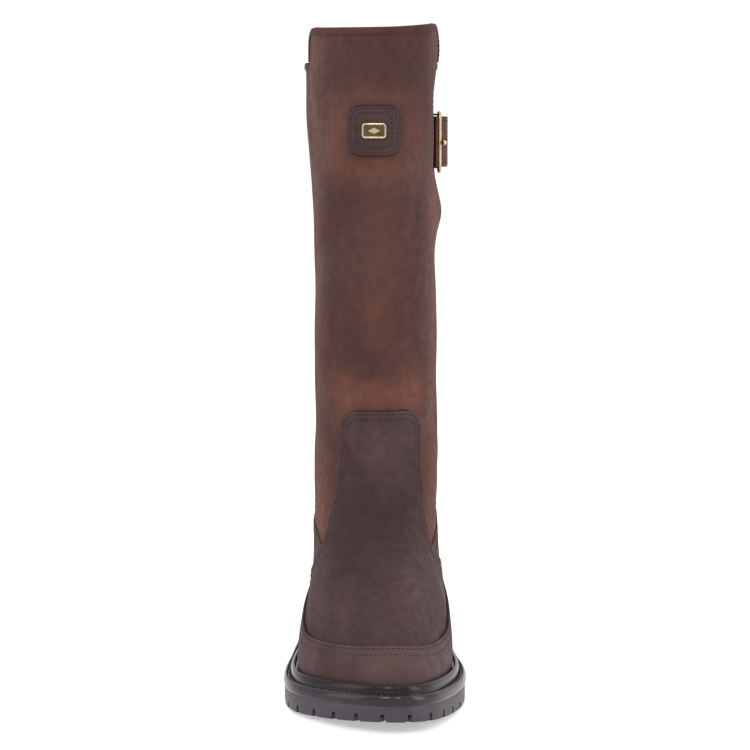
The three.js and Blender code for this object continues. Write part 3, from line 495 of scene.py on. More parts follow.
def round_section(radius, sides=16):
    angle = np.arange(sides) / sides * 2 * np.pi
    return np.stack([np.cos(angle) * radius, np.sin(angle) * radius], 1)


def soft_box_section(width, height, power=4.0, sides=28):
    """A rectangle with soft corners, as a superellipse."""
    angle = np.arange(sides) / sides * 2 * np.pi
    return np.stack([
        squared_off(np.cos(angle), power) * width / 2,
        squared_off(np.sin(angle), power) * height / 2,
    ], 1)


# ---------------------------------------------------------------- materials


class Look:
    """A node material on one Principled shader."""

    def __init__(self, name):
        self.material = bpy.data.materials.new(name)
        self.material.use_nodes = True
        self.tree = self.material.node_tree
        self.shader = self.tree.nodes["Principled BSDF"]
        self.place = self.add("ShaderNodeTexCoord").outputs["Object"]

    def add(self, kind, **inputs):
        node = self.tree.nodes.new(kind)
        for key, value in inputs.items():
            if key in node.inputs:
                self.feed(node.inputs[key], value)
            else:
                setattr(node, key, value)
        return node

    def feed(self, socket, value):
        if isinstance(value, bpy.types.NodeSocket):
            self.tree.links.new(value, socket)
        else:
            socket.default_value = value

    def stretched(self, scale):
        node = self.add("ShaderNodeMapping")
        self.feed(node.inputs["Vector"], self.place)
        node.inputs["Scale"].default_value = scale
        return node.outputs["Vector"]

    def noise(self, scale, detail=4.0, rough=0.55, vector=None, distortion=0.0):
        node = self.add("ShaderNodeTexNoise", Scale=scale, Detail=detail, Roughness=rough,
                        Distortion=distortion)
        self.feed(node.inputs["Vector"], vector or self.place)
        return node.outputs["Fac"]

    def cells(self, scale):
        node = self.add("ShaderNodeTexVoronoi", Scale=scale)
        node.feature = "SMOOTH_F1"
        node.inputs["Smoothness"].default_value = 0.35
        self.feed(node.inputs["Vector"], self.place)
        return node.outputs["Distance"]

    def ramp(self, value, low, high, to_low=0.0, to_high=1.0):
        node = self.add("ShaderNodeMapRange")
        self.feed(node.inputs["Value"], value)
        for key, number in zip(("From Min", "From Max", "To Min", "To Max"), (low, high, to_low, to_high)):
            node.inputs[key].default_value = number
        return node.outputs["Result"]

    def math(self, operation, a, b):
        node = self.add("ShaderNodeMath")
        node.operation = operation
        self.feed(node.inputs[0], a)
        self.feed(node.inputs[1], b)
        return node.outputs["Value"]

    def mix(self, share, a, b):
        node = self.add("ShaderNodeMix")
        node.data_type = "RGBA"
        self.feed(node.inputs["Factor"], share)
        self.feed(node.inputs["A"], (*a, 1.0) if isinstance(a, tuple) else a)
        self.feed(node.inputs["B"], (*b, 1.0) if isinstance(b, tuple) else b)
        return node.outputs["Result"]

    def attribute(self, name):
        return self.add("ShaderNodeAttribute", attribute_name=name).outputs["Fac"]

    def bump(self, height, strength, distance, after=None):
        node = self.add("ShaderNodeBump", Height=height, Strength=strength, Distance=distance)
        if after is not None:
            self.feed(node.inputs["Normal"], after)
        return node.outputs["Normal"]

    def finish(self, **sockets):
        names = {"Base_Color": "Base Color", "Specular": "Specular IOR Level",
                 "Emission_Color": "Emission Color", "Emission_Strength": "Emission Strength"}
        for key, value in sockets.items():
            self.feed(self.shader.inputs[names.get(key, key)], value)
        return self.material


def leather_look(name, deep, body, warm, rough=(0.54, 0.74), grain=1.0, edge=None, pull_and_highlight=0.5):
    """Waxed leather that shows red where its wax is drawn away: mottled colour, fine grain, darker edges and
    stitch lines, and painted highlight and painted shade from two zone attributes.
    """
    look = Look(name)
    broad = look.ramp(look.noise(13, 3, 0.5, distortion=0.8), 0.38, 0.62)
    streaks = look.ramp(look.noise(38, 4, 0.55, vector=look.stretched((1, 1, 0.35))), 0.36, 0.66)
    fine = look.ramp(look.noise(170, 5, 0.6), 0.32, 0.7)
    speck = look.ramp(look.noise(900, 3, 0.7), 0.35, 0.75)
    cloud = look.math("ADD", look.ramp(broad, 0, 1, 0, 0.6), look.ramp(streaks, 0, 1, 0, 0.4))
    colour = look.mix(cloud, deep, body)
    # Painted shade: the second zone attribute darkens the colour towards the deep tone in bands and patches.
    colour = look.mix(look.ramp(look.attribute("painted_shade"), 0, 1, 0, 0.85), colour, deep)
    # Red where the wax is drawn away, with painted highlight at the shaft's edges and the vamp's top, from the
    # first zone attribute.
    red_and_highlight_share = look.math("MULTIPLY", look.attribute("pull_and_highlight"), look.ramp(fine, 0, 1, 0.6, 1.0))
    red_and_highlight_share = look.math("MULTIPLY", red_and_highlight_share, look.ramp(streaks, 0, 1, 0.82, 1.0))
    colour = look.mix(look.ramp(red_and_highlight_share, 0, 1, 0, pull_and_highlight), colour, warm)
    colour = look.mix(look.ramp(fine, 0, 1, 0.0, 0.14), colour, warm)
    colour = look.mix(look.ramp(speck, 0, 1, 0.2, 0.0), colour, deep)
    if edge:
        rub = look.ramp(look.attribute("edge_mm"), 0.3, 2.6, 0.4, 0.0)
        colour = look.mix(look.math("MULTIPLY", rub, fine), colour, warm)
        near = look.ramp(look.attribute("edge_mm"), 0.1, 0.8, 0.9, 0.0)
        colour = look.mix(near, colour, edge)
    pores = look.cells(1150)
    folds = look.noise(420, 4, 0.6, distortion=0.8)
    normal = look.bump(pores, 0.55 * grain, 0.00012)
    normal = look.bump(folds, 0.4 * grain, 0.00025, normal)
    normal = look.bump(look.noise(60, 3, 0.5), 0.3, 0.0007, normal)
    shine = look.ramp(look.math("MULTIPLY", broad, fine), 0.0, 0.8, rough[1], rough[0])
    return look.finish(Base_Color=colour, Roughness=shine, Specular=0.2, IOR=1.36, Normal=normal)


def rubber_look(name, colour, dust, rough, grain=1.0, gloss=0.3):
    look = Look(name)
    cloudy = look.ramp(look.noise(30, 4, 0.6), 0.35, 0.7)
    fine = look.ramp(look.noise(1400, 3, 0.7), 0.3, 0.7)
    shade = look.mix(look.ramp(cloudy, 0, 1, 0, 0.5), colour, dust)
    normal = look.bump(look.noise(1800, 4, 0.7), 0.3 * grain, 0.00008)
    normal = look.bump(look.noise(90, 3, 0.5), 0.2, 0.0003, normal)
    shine = look.ramp(look.math("ADD", cloudy, fine), 0.0, 2.0, rough[0], rough[1])
    return look.finish(Base_Color=shade, Roughness=shine, Specular=gloss, Normal=normal)


def brass_look(name, bright, tarnish, rough=(0.2, 0.42)):
    look = Look(name)
    stain = look.ramp(look.noise(260, 5, 0.65), 0.38, 0.68)
    brushed = look.noise(700, 3, 0.6, vector=look.stretched((1, 9, 1)))
    colour = look.mix(look.ramp(stain, 0, 1, 0.0, 0.7), bright, tarnish)
    normal = look.bump(brushed, 0.25, 0.00005)
    shine = look.ramp(stain, 0, 1, rough[0], rough[1])
    return look.finish(Base_Color=colour, Roughness=shine, Metallic=1.0, Normal=normal)


def thread_look(name, colour, worn):
    look = Look(name)
    twist = look.noise(1500, 2, 0.5, vector=look.stretched((1, 1, 2.4)))
    shade = look.mix(look.ramp(look.noise(240, 3), 0.35, 0.7), colour, worn)
    return look.finish(Base_Color=shade, Roughness=0.62, Specular=0.35, Normal=look.bump(twist, 0.6, 0.00012))


def cloth_look(name, colour, light, ribs):
    """Ribbed or felted fabric, with ribs running up the boot where ribs is set."""
    look = Look(name)
    shade = look.mix(look.ramp(look.noise(300, 4), 0.35, 0.7), colour, light)
    height = look.noise(1500, 3, 0.6)
    if ribs:
        wave = look.add("ShaderNodeTexWave", Scale=ribs, Distortion=0.4)
        wave.bands_direction = "Y"
        look.feed(wave.inputs["Vector"], look.place)
        height = look.math("ADD", look.math("MULTIPLY", wave.outputs["Fac"], 2.0), height)
    return look.finish(Base_Color=shade, Roughness=0.85, Specular=0.25, Normal=look.bump(height, 0.6, 0.00025))


RED = leather_look("red_leather", (0.034, 0.0155, 0.015), (0.055, 0.025, 0.0228), (0.155, 0.056, 0.035),
                   edge=(0.012, 0.004, 0.003), pull_and_highlight=0.62)
DARK = leather_look("dark_leather", (0.024, 0.013, 0.0127), (0.038, 0.0208, 0.0204), (0.1, 0.059, 0.056),
                    edge=(0.008, 0.0035, 0.003), pull_and_highlight=0.55)
RAND_LOOK = leather_look("rand_leather", (0.036, 0.0195, 0.019), (0.068, 0.040, 0.039), (0.125, 0.07, 0.064),
                         edge=(0.010, 0.004, 0.0035), pull_and_highlight=0.3)
BINDING = leather_look("binding_leather", (0.03, 0.0125, 0.0115), (0.062, 0.026, 0.022),
                       (0.14, 0.052, 0.033))
PATCH = leather_look("patch_leather", (0.03, 0.016, 0.016), (0.051, 0.0285, 0.0285), (0.08, 0.043, 0.04),
                     edge=(0.008, 0.004, 0.004), grain=1.8, pull_and_highlight=0.2)
LINER = leather_look("lining_leather", (0.33, 0.22, 0.14), (0.42, 0.3, 0.2), (0.5, 0.36, 0.24),
                     rough=(0.7, 0.85))
RUBBER = rubber_look("sole_rubber", (0.03, 0.024, 0.03), (0.066, 0.054, 0.066), (0.36, 0.55), gloss=0.24)
LIP = rubber_look("lip_rubber", (0.015, 0.010, 0.013), (0.042, 0.031, 0.039), (0.14, 0.24), 0.4, 0.22)
GLOSS = rubber_look("welt_rubber", (0.009, 0.0055, 0.0065), (0.022, 0.0145, 0.016), (0.16, 0.26), 0.4, 0.17)
BRASS = brass_look("brass", (0.55, 0.41, 0.25), (0.3, 0.21, 0.12), rough=(0.22, 0.48))
BRASS_DARK = brass_look("brass_patina", (0.1, 0.075, 0.05), (0.05, 0.04, 0.03), (0.4, 0.6))
THREAD = thread_look("thread_dark", (0.009, 0.0042, 0.0038), (0.026, 0.013, 0.011))
TAN_THREAD = thread_look("thread_tan", (0.085, 0.038, 0.026), (0.17, 0.088, 0.06))
WELT_THREAD = thread_look("thread_welt", (0.04, 0.031, 0.029), (0.095, 0.075, 0.067))
ELASTIC = cloth_look("elastic", (0.03, 0.02, 0.017), (0.055, 0.038, 0.032), 260)
BOARD = cloth_look("board", (0.16, 0.105, 0.07), (0.24, 0.165, 0.11), 0)
STEEL = brass_look("shank_steel", (0.5, 0.5, 0.5), (0.3, 0.3, 0.31))

# ---------------------------------------------------------------- the sole


def notch_sections():
    """The outline's sections: (share, kind), kind 0 plain, 1 chamfered beside a cut, 2 inside a cut."""
    count = int(round(OUTLINE_LENGTH / LUG_PITCH))
    half = LUG_GAP / 2 / OUTLINE_LENGTH
    wide = half * FLARE_SHARE
    sections = [(g, 0) for g in np.arange(300) / 300]
    for centre in (np.arange(count) + 0.5) / count:
        if waist_lift(outline(np.array([centre]), 0)[0][0, 1]) > 0.2:
            continue
        sections = [(g, kind) for g, kind in sections if abs(g - centre) > wide * 1.15]
        sections += [(centre - wide, 0), (centre - half * 1.02, 1), (centre - half, 2)]
        sections += [(centre + half, 2), (centre + half * 1.02, 1), (centre + wide, 0)]
    return sorted(sections)


def make_outsole():
    """The rubber sole's edge: rounded lip, moulding line, wall and lug cuts."""
    # Each point of the profile: inset, height, and 0 where that is over the seat or 1 where over the tread.
    profile = [
        (24.0, 0.0, 0), (3.9, -0.9, 0), (2.5, -1.1, 0), (2.1, -0.2, 0), (1.6, 0.2, 0), (1.05, -0.05, 0),
        (0.5, -0.8, 0), (0.15, -2.0, 0), (0.0, -3.4, 0), (0.12, -4.6, 0), (0.42, -5.5, 0), (0.78, -6.0, 0),
        (0.98, -6.35, 0), (0.8, -6.75, 0), (0.62, -7.4, 0), (0.6, LUG_DEPTH + 0.6, 1), (0.62, LUG_DEPTH, 1),
        (0.66, 2.6, 1), (0.72, 1.2, 1), (1.0, 0.45, 1), (1.7, 0.0, 1), (9.5, 0.0, 1), (10.2, 0.5, 1),
        (10.2, LUG_DEPTH, 1), (24.0, LUG_DEPTH, 1),
    ]
    g, kind = np.array(notch_sections()).T
    lines = []
    for inset, height, over_tread in profile:
        wall = bool(over_tread) & (inset < 10)
        cut = (kind == 2) & wall & (height < LUG_DEPTH)
        beside = (kind == 1) & wall & (height < NOTCH_FLARE)
        flat, _ = outline(g, np.where(cut, np.maximum(inset, LUG_REACH), inset))
        y = flat[:, 1]
        above = np.where(cut, LUG_DEPTH, np.where(beside, NOTCH_FLARE, height))
        z = np.where(over_tread, tread_z(y) + above, seat_z(y) + height)
        lines.append(np.column_stack([flat, z]))
    lip = np.tile([1 if 1 <= j <= LIP_ROWS else 0 for j in range(len(profile))], len(g))
    obj = moulding("sole_edge", lines, [RUBBER, LIP], True, 32, lip)
    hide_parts("outsole")


def side_rails(inset, ys):
    """Left and right x of the outline, inset, at each y."""
    ring, _ = outline(np.arange(1440) / 1440, inset)
    ring = np.vstack([ring, ring[:1]])
    left = np.full(len(ys), np.nan)
    right = np.full(len(ys), np.nan)
    for k, y in enumerate(ys):
        a, b = ring[:-1], ring[1:]
        hit = ((a[:, 1] - y) * (b[:, 1] - y) <= 0) & (a[:, 1] != b[:, 1])
        if hit.any():
            share = (y - a[hit, 1]) / (b[hit, 1] - a[hit, 1])
            xs = a[hit, 0] + share * (b[hit, 0] - a[hit, 0])
            left[k], right[k] = xs.min(), xs.max()
    return left, right


def plate(name, inset, low, high, material, rows=90, columns=14, rounding=0.0, node=None):
    """A flat piece inside the outline, between two heights given as functions of y."""
    ring, _ = outline(np.arange(1440) / 1440, inset)
    angle = np.linspace(0, np.pi, rows)
    ys = ring[:, 1].min() + (ring[:, 1].max() - ring[:, 1].min()) * (0.5 - 0.5 * np.cos(angle))
    ys[0] += 0.25
    ys[-1] -= 0.25
    left, right = side_rails(inset, ys)
    share = 0.5 - 0.5 * np.cos(np.linspace(0, np.pi, columns))
    x = left[None, :] + (right - left)[None, :] * share[:, None]
    y = np.broadcast_to(ys, x.shape)
    top = np.stack([x, y, high(y) + 0 * x], -1)
    bottom = np.stack([x, y, low(y) + 0 * x], -1)
    if rounding:
        rim = edge_distances(top.reshape(-1, 3), [np.column_stack([ring, high(ring[:, 1])])])
        top[..., 2] -= rounded_drop(rim.reshape(x.shape), rounding)
    obj = slab(name, bottom, top, material)
    if node:
        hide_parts(node)
    return obj


def make_tread():
    """The sole's floor, and blocks under it in rows across with a gap down the middle."""
    floor = plate("sole_floor", 9.0, lambda y: tread_z(y) + LUG_DEPTH - 0.4, lambda y: seat_z(y) - 1.5,
                  RUBBER, 70, 8)
    pitch = 15.0
    gap = 3.4
    margin = 18
    parts = []
    for y0 in np.arange(-SOLE_HALF_LENGTH + margin, SOLE_HALF_LENGTH - margin, pitch):
        y1 = y0 + pitch - gap
        if waist_lift(np.array([y0, y1])).max() > 0.3:
            continue
        left, right = side_rails(14.0, np.array([y0, y1]))
        if np.isnan(left).any() or (right - left).min() < 16:
            continue
        for a, b in ((0.0, 0.31), (0.36, 0.64), (0.69, 1.0)):
            near = left + (right - left) * a
            far = left + (right - left) * b
            quad = np.array([(near[0], y0), (far[0], y0), (far[1], y1), (near[1], y1)])
            rings = []
            for shrink, height in ((0.0, LUG_DEPTH), (0.0, 0.9), (0.25, 0.3), (0.9, 0.0)):
                flat = quad + unit(quad.mean(0) - quad) * shrink
                rings.append(np.column_stack([flat, tread_z(flat[:, 1]) + height]))
            parts.append((np.vstack(rings), loft_faces(4, 4, False)))
    blocks = build_mesh("tread_blocks", *joined(parts), [RUBBER], sharp=20)


def make_welt():
    """The welt's glossy bead, and the sunk stitched channel between it and the sole's lip."""
    profile = [
        (3.9, -0.7), (4.2, 0.3), (4.25, 1.6), (4.3, 2.6), (4.45, 3.6), (4.8, 4.6), (5.3, 5.35), (5.9, 5.75),
        (6.5, 5.7), (6.95, 5.3), (7.15, 4.6), (7.3, 3.4), (8.5, 3.3), (20.5, 3.3), (20.5, 0.3),
    ]
    lines = []
    for inset, height in profile:
        flat, _ = outline(np.arange(420) / 420, inset)
        lines.append(np.column_stack([flat, seat_z(flat[:, 1]) + height]))
    obj = moulding("welt_bead", lines, [GLOSS], True, 60)
    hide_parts("welt")
    flat, _ = outline(np.arange(1401) / 1400, 3.25)
    line = np.column_stack([flat, seat_z(flat[:, 1]) - 0.4])
    up = np.tile([0.0, 0.0, 1.0], (len(line), 1))
    stitch_mesh("welt_stitches", [(line, up)], WELT_THREAD, length=2.6, radius=0.6, pitch=3.6)


# ---------------------------------------------------------------- leather panels


# The topline sags a little in the middle and stands up at its buckle side.
top_sag = stations([(-0.21, -1.5), (-0.1, -2.2), (0.02, -2.0), (0.12, -0.4), (0.21, 1.6)])


def front_top(s):
    """The front topline, in t, with its rounded corners at the side seams."""
    inside = np.clip((SEAM_S - np.abs(s)) * SHAFT_GIRTH, 0, CORNER_RADIUS)
    drop = CORNER_RADIUS - np.sqrt(np.maximum(CORNER_RADIUS**2 - (CORNER_RADIUS - inside) ** 2, 0))
    return shaft_t(TOP_Z - drop + top_sag(s))


def front_outline(low):
    """The visible edge of the front panel: up its left side, over the top and down its right side."""
    corner = CORNER_RADIUS / SHAFT_GIRTH
    bend = np.linspace(0, np.pi / 2, 24)
    left = -SEAM_S + corner * (1 - np.cos(bend))
    s = np.concatenate([left, np.linspace(-SEAM_S + corner, SEAM_S - corner, 120)[1:-1], -left[::-1]])
    top = front_top(s)
    sides = np.linspace(low, top[0], 120)[:-1]
    s = np.concatenate([np.full(len(sides), -SEAM_S), s, np.full(len(sides), SEAM_S)])
    t = np.concatenate([sides, top, sides[::-1]])
    return s, t


def make_front_panel():
    low = 0.56
    tall = 330.0
    girth = 2 * SEAM_S * SHAFT_GIRTH
    s = -SEAM_S + 2 * SEAM_S * edge_steps(girth) / girth
    up = edge_steps(tall)
    share = up[up > 8] / tall
    s_grid = np.repeat(s[:, None], len(share), 1)
    top = front_top(s)[:, None]
    t_grid = low + (top - low) * ((share - share[0]) / (1 - share[0]))[None, :]
    leather("front_panel", "front_shaft_panel", s_grid, t_grid, BASE, [front_outline(low)],
            RED, grooves=(2.4,))
    stitch_mesh("front_panel_stitches", seam_rows(front_outline(0.6), (-2.4,), BASE[1]), TAN_THREAD)


def make_back_panels():
    low = 0.5
    top = shaft_t(BACK_TOP_Z)
    for name, node, start, end, seam in (
        ("back_panel_outer_side", "back_panel_outer", SEAM_S + 0.0012, 0.4992, 0),
        ("back_panel_inner_side", "back_panel_inner", 0.5008, 1 - SEAM_S - 0.0012, 1),
    ):
        girth = (end - start) * SHAFT_GIRTH
        s = start + (end - start) * edge_steps(girth, gap=4.0) / girth
        s_grid, t_grid = np.meshgrid(s, np.linspace(low, top, 110), indexing="ij")
        edge = (np.full(200, (start, end)[seam]), np.linspace(low, top, 200))
        leather(name, node, s_grid, t_grid, BASE, [edge], RED)


VAMP_TOP = 1.077
VAMP_CORNER_T = 1.02


def vamp_side(table, corner):
    """The vamp's half width in s at each t, rounded off over its top corner."""
    plain = stations(table)

    def side(t):
        rise = np.clip((t - VAMP_CORNER_T) / (VAMP_TOP - VAMP_CORNER_T), 0, 1)
        return plain(t) - corner * (1 - np.sqrt(1 - rise**2))

    return side


vamp_right = vamp_side([
    (0, 0.28), (0.2, 0.27), (0.35, 0.252), (0.42, 0.222), (0.46, 0.178), (0.5, 0.13), (0.55, 0.105),
    (0.62, 0.1), (0.7, 0.101), (0.82, 0.106), (1.0, 0.111), (1.08, 0.111),
], 0.045)
vamp_left = vamp_side([
    (0, 0.28), (0.2, 0.27), (0.35, 0.252), (0.42, 0.222), (0.46, 0.184), (0.5, 0.14), (0.55, 0.114),
    (0.62, 0.101), (0.7, 0.092), (0.82, 0.0865), (0.95, 0.084), (1.08, 0.082),
], 0.045)


def vamp_outline(low=0.0):
    corner = VAMP_CORNER_T + (VAMP_TOP - VAMP_CORNER_T) * np.sin(np.linspace(0, np.pi / 2, 60))
    t = np.concatenate([np.linspace(low, VAMP_CORNER_T, 220)[:-1], corner])
    across = np.linspace(-vamp_left(VAMP_TOP), vamp_right(VAMP_TOP), 40)[1:-1]
    s = np.concatenate([-vamp_left(t), across, vamp_right(t)[::-1]])
    return s, np.concatenate([t, np.full(len(across), VAMP_TOP), t[::-1]])


def make_vamp():
    under_top = np.array([19.7, 16, 13, 10.5, 8.5, 7, 5.5, 4.4, 3.5, 2.8, 2.1, 1.5, 1.0, 0.6, 0.3, 0.1, 0])
    near_top = VAMP_TOP - under_top / (TOP_Z - ANKLE_Z)
    t = np.concatenate([np.linspace(0, 1, 84)[:-1], near_top])
    # The columns keep their distances in mm near both edges, on a piece of this nominal width.
    width = 60.0
    share = edge_steps(width, gap=2.4) / width
    blend = smooth((np.abs(share - 0.5) - 0.5 + 0.14) / 0.05)
    rows = []
    for value in t:
        left, right = vamp_left(value), vamp_right(value)
        middle = surface(np.linspace(-left, right, 60), np.full(60, value))
        length = np.linalg.norm(np.diff(middle, axis=0), axis=1).sum()
        warped = np.where(share < 0.5, share * width / length, 1 - (1 - share) * width / length)
        rows.append(-left + (right + left) * (warped * blend + share * (1 - blend)))
    s_grid = np.array(rows).T
    t_grid = np.broadcast_to(t, s_grid.shape)
    leather("vamp_upper", "vamp", s_grid, t_grid, OVERLAY, [vamp_outline()], DARK,
            grooves=(2.2, 5.6))
    rows = seam_rows(vamp_outline(0.3), (-2.2, -5.6), OVERLAY[1])
    stitch_mesh("vamp_stitches", rows, THREAD, length=2.5, pitch=3.2)


mudguard_top = stations([
    (0, 0.19), (0.055, 0.19), (0.09, 0.218), (0.11, 0.262), (0.14, 0.335), (0.18, 0.375), (0.27, 0.38),
])


def make_mudguard():
    end = 0.262
    s = np.linspace(-end, end, 220)
    top = mudguard_top(np.abs(s))
    under_top = np.array([0.4, 0.34, 0.3, 0.26, 0.22, 0.18, 0.14, 0.1, 0.07, 0.045, 0.025, 0.01, 0.0])
    share = np.concatenate([np.linspace(0, 0.6, 14)[:-1], 1 - under_top])
    s_grid = np.repeat(s[:, None], len(share), 1)
    high = RAND[1] + 0.5 * (1 - share)[None, :]
    leather("mudguard_rand", "mudguard", s_grid, top[:, None] * share[None, :], (RAND[0], high),
            [(s, top)], RAND_LOOK, grooves=(1.9, 6.0))
    rows = seam_rows((s, top), (-1.9, -6.0), RAND[1])
    stitch_mesh("mudguard_stitches", rows, THREAD, length=2.3, pitch=3.0)


foxing_top = stations([(0.09, 0.56), (0.125, 0.61), (0.155, 0.64), (0.21, 0.65), (0.35, 0.63), (0.5, 0.64)])


def foxing_sink(fold):
    """How much lower the heel cover lies towards its front corners."""
    return np.interp(fold, [0.098, 0.2, 0.29], [0.9, 0.9, 0.0])


def make_foxing():
    s = np.concatenate([np.linspace(0.098, 0.24, 50), np.linspace(0.24, 0.5, 60)[1:]])
    s = np.concatenate([s, 1 - s[::-1][1:]])
    fold = np.minimum(s, 1 - s)
    top = foxing_top(fold) + 0.015 - 0.06 * np.exp(-(((s - 0.2) / 0.09) ** 2))
    near_top = [0.86, 0.89, 0.915, 0.935, 0.955, 0.97, 0.982, 0.992, 1.0]
    share = np.concatenate([np.linspace(0, 0.86, 22)[:-1], near_top])
    low = np.interp(fold, [0.098, 0.13, 0.2, 0.24, 0.28], [0.5, 0.42, 0.36, 0.2, 0.0])
    s_grid = np.repeat(s[:, None], len(share), 1)
    t_grid = low[:, None] + (top - low)[:, None] * share[None, :]
    layer = (1.9, OVERLAY[1] - foxing_sink(fold)[:, None])
    leather("heel_cover", "heel_foxing", s_grid, t_grid, layer, [(s, top)], DARK,
            grooves=(2.2, 5.2))
    rows = []
    for distance in (-2.2, -5.2):
        a, b = inset_path(s, top, distance)
        turn = np.minimum(a, 1 - a)
        keep = turn > 0.125
        rows.append(surface_row(a[keep], b[keep], OVERLAY[1] - foxing_sink(turn)[keep]))
    stitch_mesh("heel_cover_stitches", rows, THREAD, length=2.5, pitch=3.2)


def make_backstay():
    half = 0.022
    t = np.linspace(0.655, shaft_t(BACK_TOP_Z) - 0.03, 100)
    girth = 2 * half * SHAFT_GIRTH
    s = 0.5 - half + 2 * half * edge_steps(girth, EDGE_REACH[:9], 1.5) / girth
    s_grid, t_grid = np.meshgrid(s, t, indexing="ij")
    left = (np.full(len(t), 0.5 - half), t)
    right = (np.full(len(t), 0.5 + half), t[::-1])
    ends = [(np.linspace(0.5 - half, 0.5 + half, 20), np.full(20, v)) for v in (t[0], t[-1])]
    leather("back_strip", "backstay", s_grid, t_grid, (2.0, 3.3), [left, right, *ends], DARK,
            grooves=(2.0,))
    rows = seam_rows(left, (-2.0,), 3.3) + seam_rows(right, (-2.0,), 3.3)
    stitch_mesh("back_strip_stitches", rows, THREAD)


def binding(name, node, s, t, taper=0.01):
    """A folded binding over an edge line, down both its sides, thinned outside over taper mm at its ends."""
    depth = 3.6
    outside = BASE[1]
    inside = LINING[0] - 0.2
    section = [
        (depth, outside + 0.05), (depth - 0.15, outside + 0.45), (2.4, outside + 0.7), (1.0, outside + 0.75),
        (0.0, outside + 0.65), (-0.9, outside + 0.2), (-1.35, -0.2), (-0.9, inside - 0.5), (0.0, inside - 1.0),
        (1.2, inside - 1.1), (depth - 0.2, inside - 0.8), (depth, inside - 0.1), (0.4, inside), (-0.35, -0.2),
        (0.4, outside),
    ]
    points = lifted(s, t, 0.0)
    normal = directions(s, t)[2]
    aside = -unit(np.cross(normal, unit(np.gradient(points, axis=0))))
    run = arc_lengths(points)
    bulge = smooth((np.minimum(run, run[-1] - run) + 0.01) / taper)
    lines = []
    for d, w in section:
        proud = max(w - outside, 0)
        lines.append(points + aside * d + normal * (w - proud * (1 - bulge))[:, None])
    obj = moulding(name, lines, [BINDING], False, 60)
    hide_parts(node)
    full = bulge > 0.98
    rows = seam_rows((s[full], t[full]), (-2.6,), outside + 0.72)
    stitch_mesh(name + "_stitches", rows, THREAD, length=2.3, pitch=3.0)


def make_bindings():
    s, t = front_outline(shaft_t(BACK_TOP_Z + 1.5))
    binding("front_edge_binding", "front_binding", s, t)
    s = np.linspace(SEAM_S + 0.004, 1 - SEAM_S - 0.004, 200)
    binding("back_edge_binding", "back_binding", s, np.full(len(s), shaft_t(BACK_TOP_Z)), taper=6)


def make_linings():
    """The shaft's and foot's leather lining, seen through the top."""
    s = np.arange(120) / 120
    fold = np.minimum(s, 1 - s)
    top = np.where(fold < SEAM_S, front_top(np.minimum(fold, SEAM_S)), shaft_t(BACK_TOP_Z)) - 0.004
    share = np.linspace(0, 1, 50)
    for name, node, low, high in (
        ("shaft_liner", "shaft_lining", np.full(120, 0.6), top),
        ("foot_liner", "foot_lining", np.zeros(120), np.full(120, 0.597)),
    ):
        t = low[:, None] + (high - low)[:, None] * share[None, :]
        s_grid = np.repeat(s[:, None], len(share), 1)
        obj = slab(name, *(lifted(s_grid, t, w) for w in LINING), LINER, looped=True)
        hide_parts(node)


def make_stiffeners():
    """The toe puff, heel stiffener and interlining, between the lining and the outer leather."""
    for name, node, left, right, low, high in (
        ("toe_stiffener", "toe_puff", -0.284, 0.284, 0.01, PUFF_T),
        ("heel_counter", "heel_stiffener", 0.288, 0.712, 0.01, STIFFENER_T),
        ("low_interlining", "vamp_backer", -0.284, 0.284, PUFF_T + 0.014, STIFFENER_T - 0.004),
        ("high_interlining", "vamp_backer", -0.205, 0.205, STIFFENER_T, 0.985),
    ):
        s, t = np.meshgrid(np.linspace(left, right, 60), np.linspace(low, high, 40), indexing="ij")
        obj = slab(name, lifted(s, t, BASE[0] + 0.05), lifted(s, t, BASE[1] - 0.25), BOARD)
        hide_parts(node)


def make_footbed():
    base = WELT_THICKNESS + WELT_GAP
    obj = plate("sock_footbed", 18.9, lambda y: seat_z(y) + base + 2.5, lambda y: seat_z(y) + base + 6.5, LINER,
                rounding=1.5, node="footbed")


# ---------------------------------------------------------------- badge


def shaft_row(x, z):
    width = np.where(x >= 0, shaft_right(z), shaft_left(z))
    front = shaft_front(z)
    middle = (front + shaft_back(z)) / 2
    share = (1 - (np.abs(x) / width) ** FRONT_POWER) ** (1 / FRONT_POWER)
    return middle - (middle - front) * share


BADGE_X = -0.6
BADGE_Z = 342.5
BADGE_REACH = 15.7
BADGE_HIGH = 3.5
BADGE_SEAMS = (1.8, 4.9)


def badge_rings(shares, out):
    """Rings of a rounded square lying on the shaft's front."""
    angle = np.arange(112) / 112 * 2 * np.pi
    x1 = squared_off(np.cos(angle), 4.6) * 16.0
    z1 = squared_off(np.sin(angle), 4.6) * 15.5
    rings = []
    for share, lift in zip(shares, out):
        x = BADGE_X + x1 * share
        z = BADGE_Z + z1 * share
        rings.append(np.stack([x, shaft_row(x, z) - lift, z], 1))
    return rings


